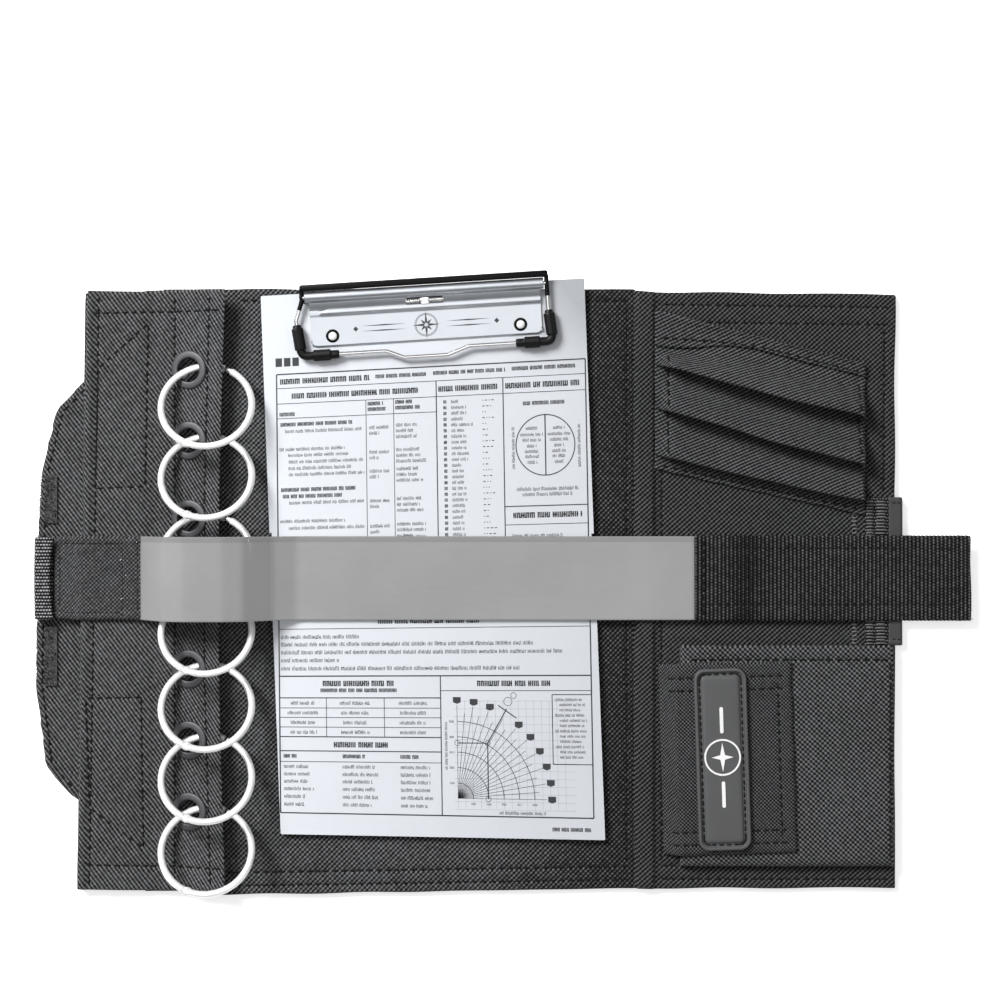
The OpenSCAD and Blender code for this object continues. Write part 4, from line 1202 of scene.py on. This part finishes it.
# The body's section, from its foot over the raised ridge, up to the barrel and round it
profile = [(-22.9, 7.42), (-22.9, 8.0), (-22.6, 8.3), *((v, 8.3) for v in np.linspace(-21.6, -9.2, 9)),
           (-8.8, 8.32), (-8.5, 8.6), (-8.2, 9.15), (-7.8, 9.4), (-7.2, 9.42), (-6.6, 9.3), (-6.0, 9.3), (-5.4, 9.4),
           (-4.4, 9.8), (-3.2, 10.5), (-2.75, 10.75)]
for a in range(168, -150, -12):
    x, z = polar(BARREL_R, math.radians(a))
    profile.append((x, BARREL_Z + z))
line, _ = resample([(0, v, z) for v, z in profile], 0.5)
half = np.concatenate([np.linspace(9.2, 50.5, 30), [52, 52.6, 52.9, 53]])
u = np.concatenate([-half[::-1], [-8.6, -8.5], np.linspace(-8, 8, 15), [8.5, 8.6], half])
U, V = grid(u, np.array([p.y for p in line]))
_, Z = grid(u, np.array([p.z for p in line]))
ridge = (V > -9.0) & (V < -5.6) & (Z < 9.6)
Z = np.where(ridge, Z - smooth((-46.2 - U) / 1.6) * (Z - 8.4) * 0.9, Z)
mid_u, mid_v, mid_z = ((A[:-1, :-1] + A[1:, 1:]) / 2 for A in (U, V, Z))
window = (np.abs(mid_u) < 8.6) & (mid_v > -6.1) & (mid_v < -2.8) & (mid_z > 8.5)
corner = np.clip(np.abs(U) - 50.6, 0, 2.4)
V = V + (2.4 - np.sqrt(np.clip(2.4 ** 2 - corner ** 2, 0, None))) * (V < -21.9)
cloth("clip_sheet", homogeneous(U, V, Z, CLIP), 0.6, CHROME, "clip_chrome", "center_panel", ["clip_body"],
      ~window, 0.1)
bore = [(1.25, -54.8), (2.45, -54.8), (2.6, -54.6), (2.6, -52.8), (2.5, -52.7), (1.25, -52.7)]
ends = [moved(lathe(bore, 36, True), Matrix.Translation((0, 0, BARREL_Z)) @ Matrix.Rotation(math.radians(a), 4, "Y"))
        for a in (90, -90)]
on_clip("clip_barrel_ends", ends, CHROME, "clip_chrome", sharp=30)

# Spring coiled in the window, a coil on each side of the tab
parts = [tube([(side * (2.6 + 5.9 * k / 200), 1.05 * math.cos(k * 0.2) - 4.65, 9.45 + 1.05 * math.sin(k * 0.2))
               for k in range(201)], 0.3, 8, Vector((1, 0, 0))) for side in (-1, 1)]
parts.append(loft([[(x * k, y * k - 4.6, z) for x, y in round_box(5, 3.1, 1.5)]
                   for k, z in ((1, 8.42), (1.0, 9.9), (0.9, 10.2), (0.3, 10.25))]))
# A black sheet under the spring window stands in for the shadow there: painted shadow.
on_clip("clip_window_shade", [slab(round_box(17.6, 3.6, 1.7, at=(0, -4.6)), 7.5, 8.1)], LACQUER, "black_lacquer")
on_clip("clip_spring_coil", parts, STEEL, "bail_steel", "clip_spring")

# Rivets: a dome painted white for its reflection, set in a rolled rim painted black for its shade
dome = lathe([(0.0, 6.1), (1.95, 6.1), (1.95, 8.45), (1.5, 8.8), (0.8, 8.96), (0.0, 9.0)])
rim = lathe([(1.9, 8.3), (1.95, 8.7), (2.2, 8.98), (2.6, 8.98), (2.95, 8.7), (3.1, 8.31), (2.5, 8.29)], 40, True)
for name, part, paint, slot, nodes in (("clip_rivet_painted_glint_domes", dome, MARK, "clip_chrome", ["clip_rivets"]),
                                       ("clip_rivet_painted_shade_rims", rim, LACQUER, "black_lacquer", [])):
    on_clip(name, [shifted(part, x, -18.1) for x in (-43.2, 43.2)], paint, slot, *nodes)
rose = [shifted(slab(point, 8.25, 8.34), 0, -15.6) for point in star(8, 1.5, (6.4, 3.6), 0.5)]
rose += [shifted(lathe([(r, 8.25), (r + 0.22, 8.25), (r + 0.22, 8.34), (r, 8.34)], 48, True), 0, -15.6)
         for r in (4.6, 5.1)]
for side in (-1, 1):
    for near, far, y, half in ((9, 30, -14.4, 0.32), (9, 30, -16.8, 0.32), (31.2, 33.6, -15.6, 1.2)):
        mid = side * (near + far) / 2
        rose.append(slab([(side * near, y), (mid, y - half), (side * far, y), (mid, y + half)][::side], 8.25, 8.34))
on_clip("clip_compass_rose", rose, INK, "clip_chrome", sharp=30)

# Bail: wire, lever bar and rubber sleeves
BAIL = [(-56.2, 3.7), (-56.2, -1.5), (-59.4, -10.5), (-57.7, -26.7), (-19, -26.7), (-11, -30.1), (9, -30.1),
        (19, -26.7), (57.5, -26.7), (56.2, -11), (56.2, 3.7)]
wire_line, wire_at = fillet([(x, y, BARREL_Z) for x, y in BAIL], 2.6, 10, 0.6)
axle = tube([(x, 0, BARREL_Z) for x in np.linspace(-56.4, 56.4, 30)], 0.95, 16)
on_clip("bail_wire_bar", [tube(wire_line, 0.95, 16), axle], STEEL, "bail_steel", "bail_wire", "bail_pin",
        body="clip_bail", sharp=60)
arms = [tube([q for q, at in zip(wire_line, wire_at) if low <= at <= high], 1.06, 16)
        for low, high in ((0, 10.2), (wire_at[-1] - 10.2, wire_at[-1]))]
on_clip("bail_arm_lacquer", arms, LACQUER, "black_lacquer", body="clip_bail", sharp=60)
LEVER = ((-56.9, 0.55), (-56.6, 0.85), (-56.0, 1), (-20, 1), (20, 1), (56.0, 1), (56.6, 0.85), (56.9, 0.55))
lever = loft([[(x, 4.2 + v * k, BARREL_Z + 1.0 + z * k) for v, z in round_box(3.0, 2.8, 0.8, 4)] for x, k in LEVER])
on_clip("bail_lever_bar", [lever], LACQUER, "black_lacquer", "bail_lever", body="clip_bail")


def sleeve(points):
    """A rubber tube round the bail's corner, with two fluted collars."""
    line, at = fillet([(x, y, BARREL_Z) for x, y in points], 3.2, 10, 0.35)
    total, loops = at[-1], []
    for i, (p, s) in enumerate(zip(line, at)):
        t = (line[min(i + 1, len(line) - 1)] - line[max(i - 1, 0)]).normalized()
        side = t.cross(UP).normalized()
        fat = (smooth((s - 1.2) / 0.5) - smooth((s - 11.2) / 0.5) + smooth((s - 18.6) / 0.5)
               - smooth((s - total + 4.2) / 0.5))
        r = (1.95 + 0.75 * fat) * (0.86 + 0.14 * smooth(s / 0.6)) * (0.82 + 0.18 * smooth((total - s) / 0.6))
        loop = []
        for k in range(40):
            a = 2 * math.pi * k / 40
            out, up = polar(r * (1 - 0.09 * fat * (0.5 + 0.5 * math.cos(a * 10))), a)
            loop.append(p + side * out + UP * (up * 0.97))
        loops.append(loop)
    return loft(loops)


on_clip("bail_rubber_sleeves", [sleeve([(-59.25, -12.4), (-57.7, -26.7), (-40.5, -26.7)]),
                                sleeve([(56.35, -12.4), (57.5, -26.7), (40.5, -26.7)])],
        RUBBER, "bail_rubber", "bail_sleeves", body="clip_bail", sharp=45)

# ---------------------------------------------------------------- grommets and book rings
ROLLED = [(5.6, -1.35), (5.6, 1.1), (5.7, 1.35), (5.95, 1.5), (6.4, 1.54), (8.0, 1.5), (8.45, 1.38), (8.75, 1.05),
          (8.85, 0.65), (8.7, 0.5), (6.3, 0.5), (6.2, 0.4), (6.2, -0.5), (8.2, -0.5), (8.4, -0.65), (8.3, -0.95),
          (7.2, -1.25), (6.2, -1.45)]
HOLES = [Matrix.Translation((GROMMET_X, gy, GROMMET_Z)) for gy in GROMMET_Y]
grommet = moved(lathe(ROLLED, 48, True), Matrix.Rotation(-FLAP_SLOPE, 4, "Y"))
mesh("ring_grommets_rolled", join(*(moved(grommet, at) for at in HOLES)), GUNMETAL, "center_panel",
     ("ring_grommets", "grommet_washers"), 50)


def ring_half(a0, a1, lap, tip):
    """Half a ring from its hinge at a0 to its latch at a1. lap is its half-lap's side, tip if its latch is slim."""
    radii, flats, shifts, pts = [], [], [], []
    for a in np.linspace(a0, a1, 96):
        s, e = (abs(b) / 180 * math.pi * RING_R for b in (a - a0, a1 - a))
        thin = 1 - smooth((s - 2.2) / 0.9)
        wide, low = WIRE_R + 0.14 + 0.2 * thin, WIRE_R - 0.05 - 0.73 * thin
        if tip:
            k = 1 - smooth((e - 1.3) / 1.6)
            wide, low = wide * (1 - 0.3 * k) + 0.2 * smooth((4 - e) / 1.5) * (1 - k), low * (1 - 0.15 * k)
        else:
            k = 1 - smooth((e - 2.4) / 0.5)
            wide, low = wide + 0.16 * k, low + 0.12 * k
        if s < 0.6:
            wide *= 0.8 + 0.2 * s / 0.6
        radii.append(wide)
        flats.append(low)
        shifts.append(lap * 0.72 * thin)
        pts.append((*polar(RING_R, math.radians(a)), 0))
    return tube(pts, radii, 18, UP, flats, shifts)


PIN = [(0.0, -1.75), (0.75, -1.75), (0.95, -1.6), (0.95, -1.45), (0.5, -1.4)]
pin = shifted(lathe(PIN + [(r, -z) for r, z in PIN[::-1]], 20), *polar(RING_R, math.radians(247.5)))
halves = join(ring_half(250.6, 69.0, -1, False), pin), ring_half(244.4, 425.6, 1, True)
for i, hole in enumerate(HOLES, 1):
    at = hole @ Matrix.Rotation(-RING_TILT, 4, "X") @ Matrix.Translation((8.7, -18.73, 0))
    for part, name, body in zip(halves, ("half", "gate_half"), (f"ring_{i}", f"ring_gate_{i}")):
        mesh(f"ring_{name}_{i}", moved(part, at), RING_CHROME, body, [body], 50)

# ---------------------------------------------------------------- floor, light and camera
REACH, FLOOR_Z = 3000, -0.3
corners = [(x * REACH, y * REACH, FLOOR_Z) for x, y in ((-1, -1), (1, -1), (1, 1), (-1, 1))]
floor = mesh("floor", (corners, [(0, 1, 2, 3)]), FLOOR)
scene = bpy.context.scene
for name, at, size, power in (("key_light", (-1.3, 1.35, 1.7), (0.9, 0.9), 96),
                              ("fill_light", (1.6, -1.1, 1.6), (1.6, 1.6), 6),
                              ("top_light", (-0.15, 0.35, 2.5), (1.5, 1.5), 6),
                              ("metal_light", (0, 0.7, 2.55), (3.4, 2.4), 17),
                              ("front_light", (0, -2.2, 0.8), (3.2, 0.9), 7)):
    light = bpy.data.lights.new(name, "AREA")
    light.shape, light.size, light.size_y, light.energy = "RECTANGLE", *size, power
    ob = bpy.data.objects.new(name, light)
    ob.location = at
    ob.rotation_euler = (-Vector(at)).to_track_quat("-Z", "Y").to_euler()
    ob.visible_diffuse = name not in ("metal_light", "front_light")
    scene.collection.objects.link(ob)
world = bpy.data.worlds.new("studio")
scene.world = world
world.use_nodes = True
sky, nodes, links = world.node_tree.nodes["Background"], world.node_tree.nodes, world.node_tree.links
heading, height, shade = (nodes.new("ShaderNode" + kind) for kind in ("TexCoord", "SeparateXYZ", "ValToRGB"))
links.new(heading.outputs["Generated"], height.inputs[0])
links.new(height.outputs[2], shade.inputs[0])
links.new(shade.outputs[0], sky.inputs[0])
for element, place, level in zip(shade.color_ramp.elements, (0.05, 0.6), (0.2, 1)):
    element.position, element.color = place, (level, level, level, 1)
sky.inputs[1].default_value = 0.26
camera = bpy.data.objects.new("camera", bpy.data.cameras.new("camera"))
scene.collection.objects.link(camera)
camera.location = (-0.0007, 0.0386, 1.205)
camera.data.sensor_width, camera.data.lens = 36, 93.9
camera.data.clip_start, camera.data.clip_end = 0.05, 20
scene.camera = camera
scene.view_settings.view_transform = "Standard"
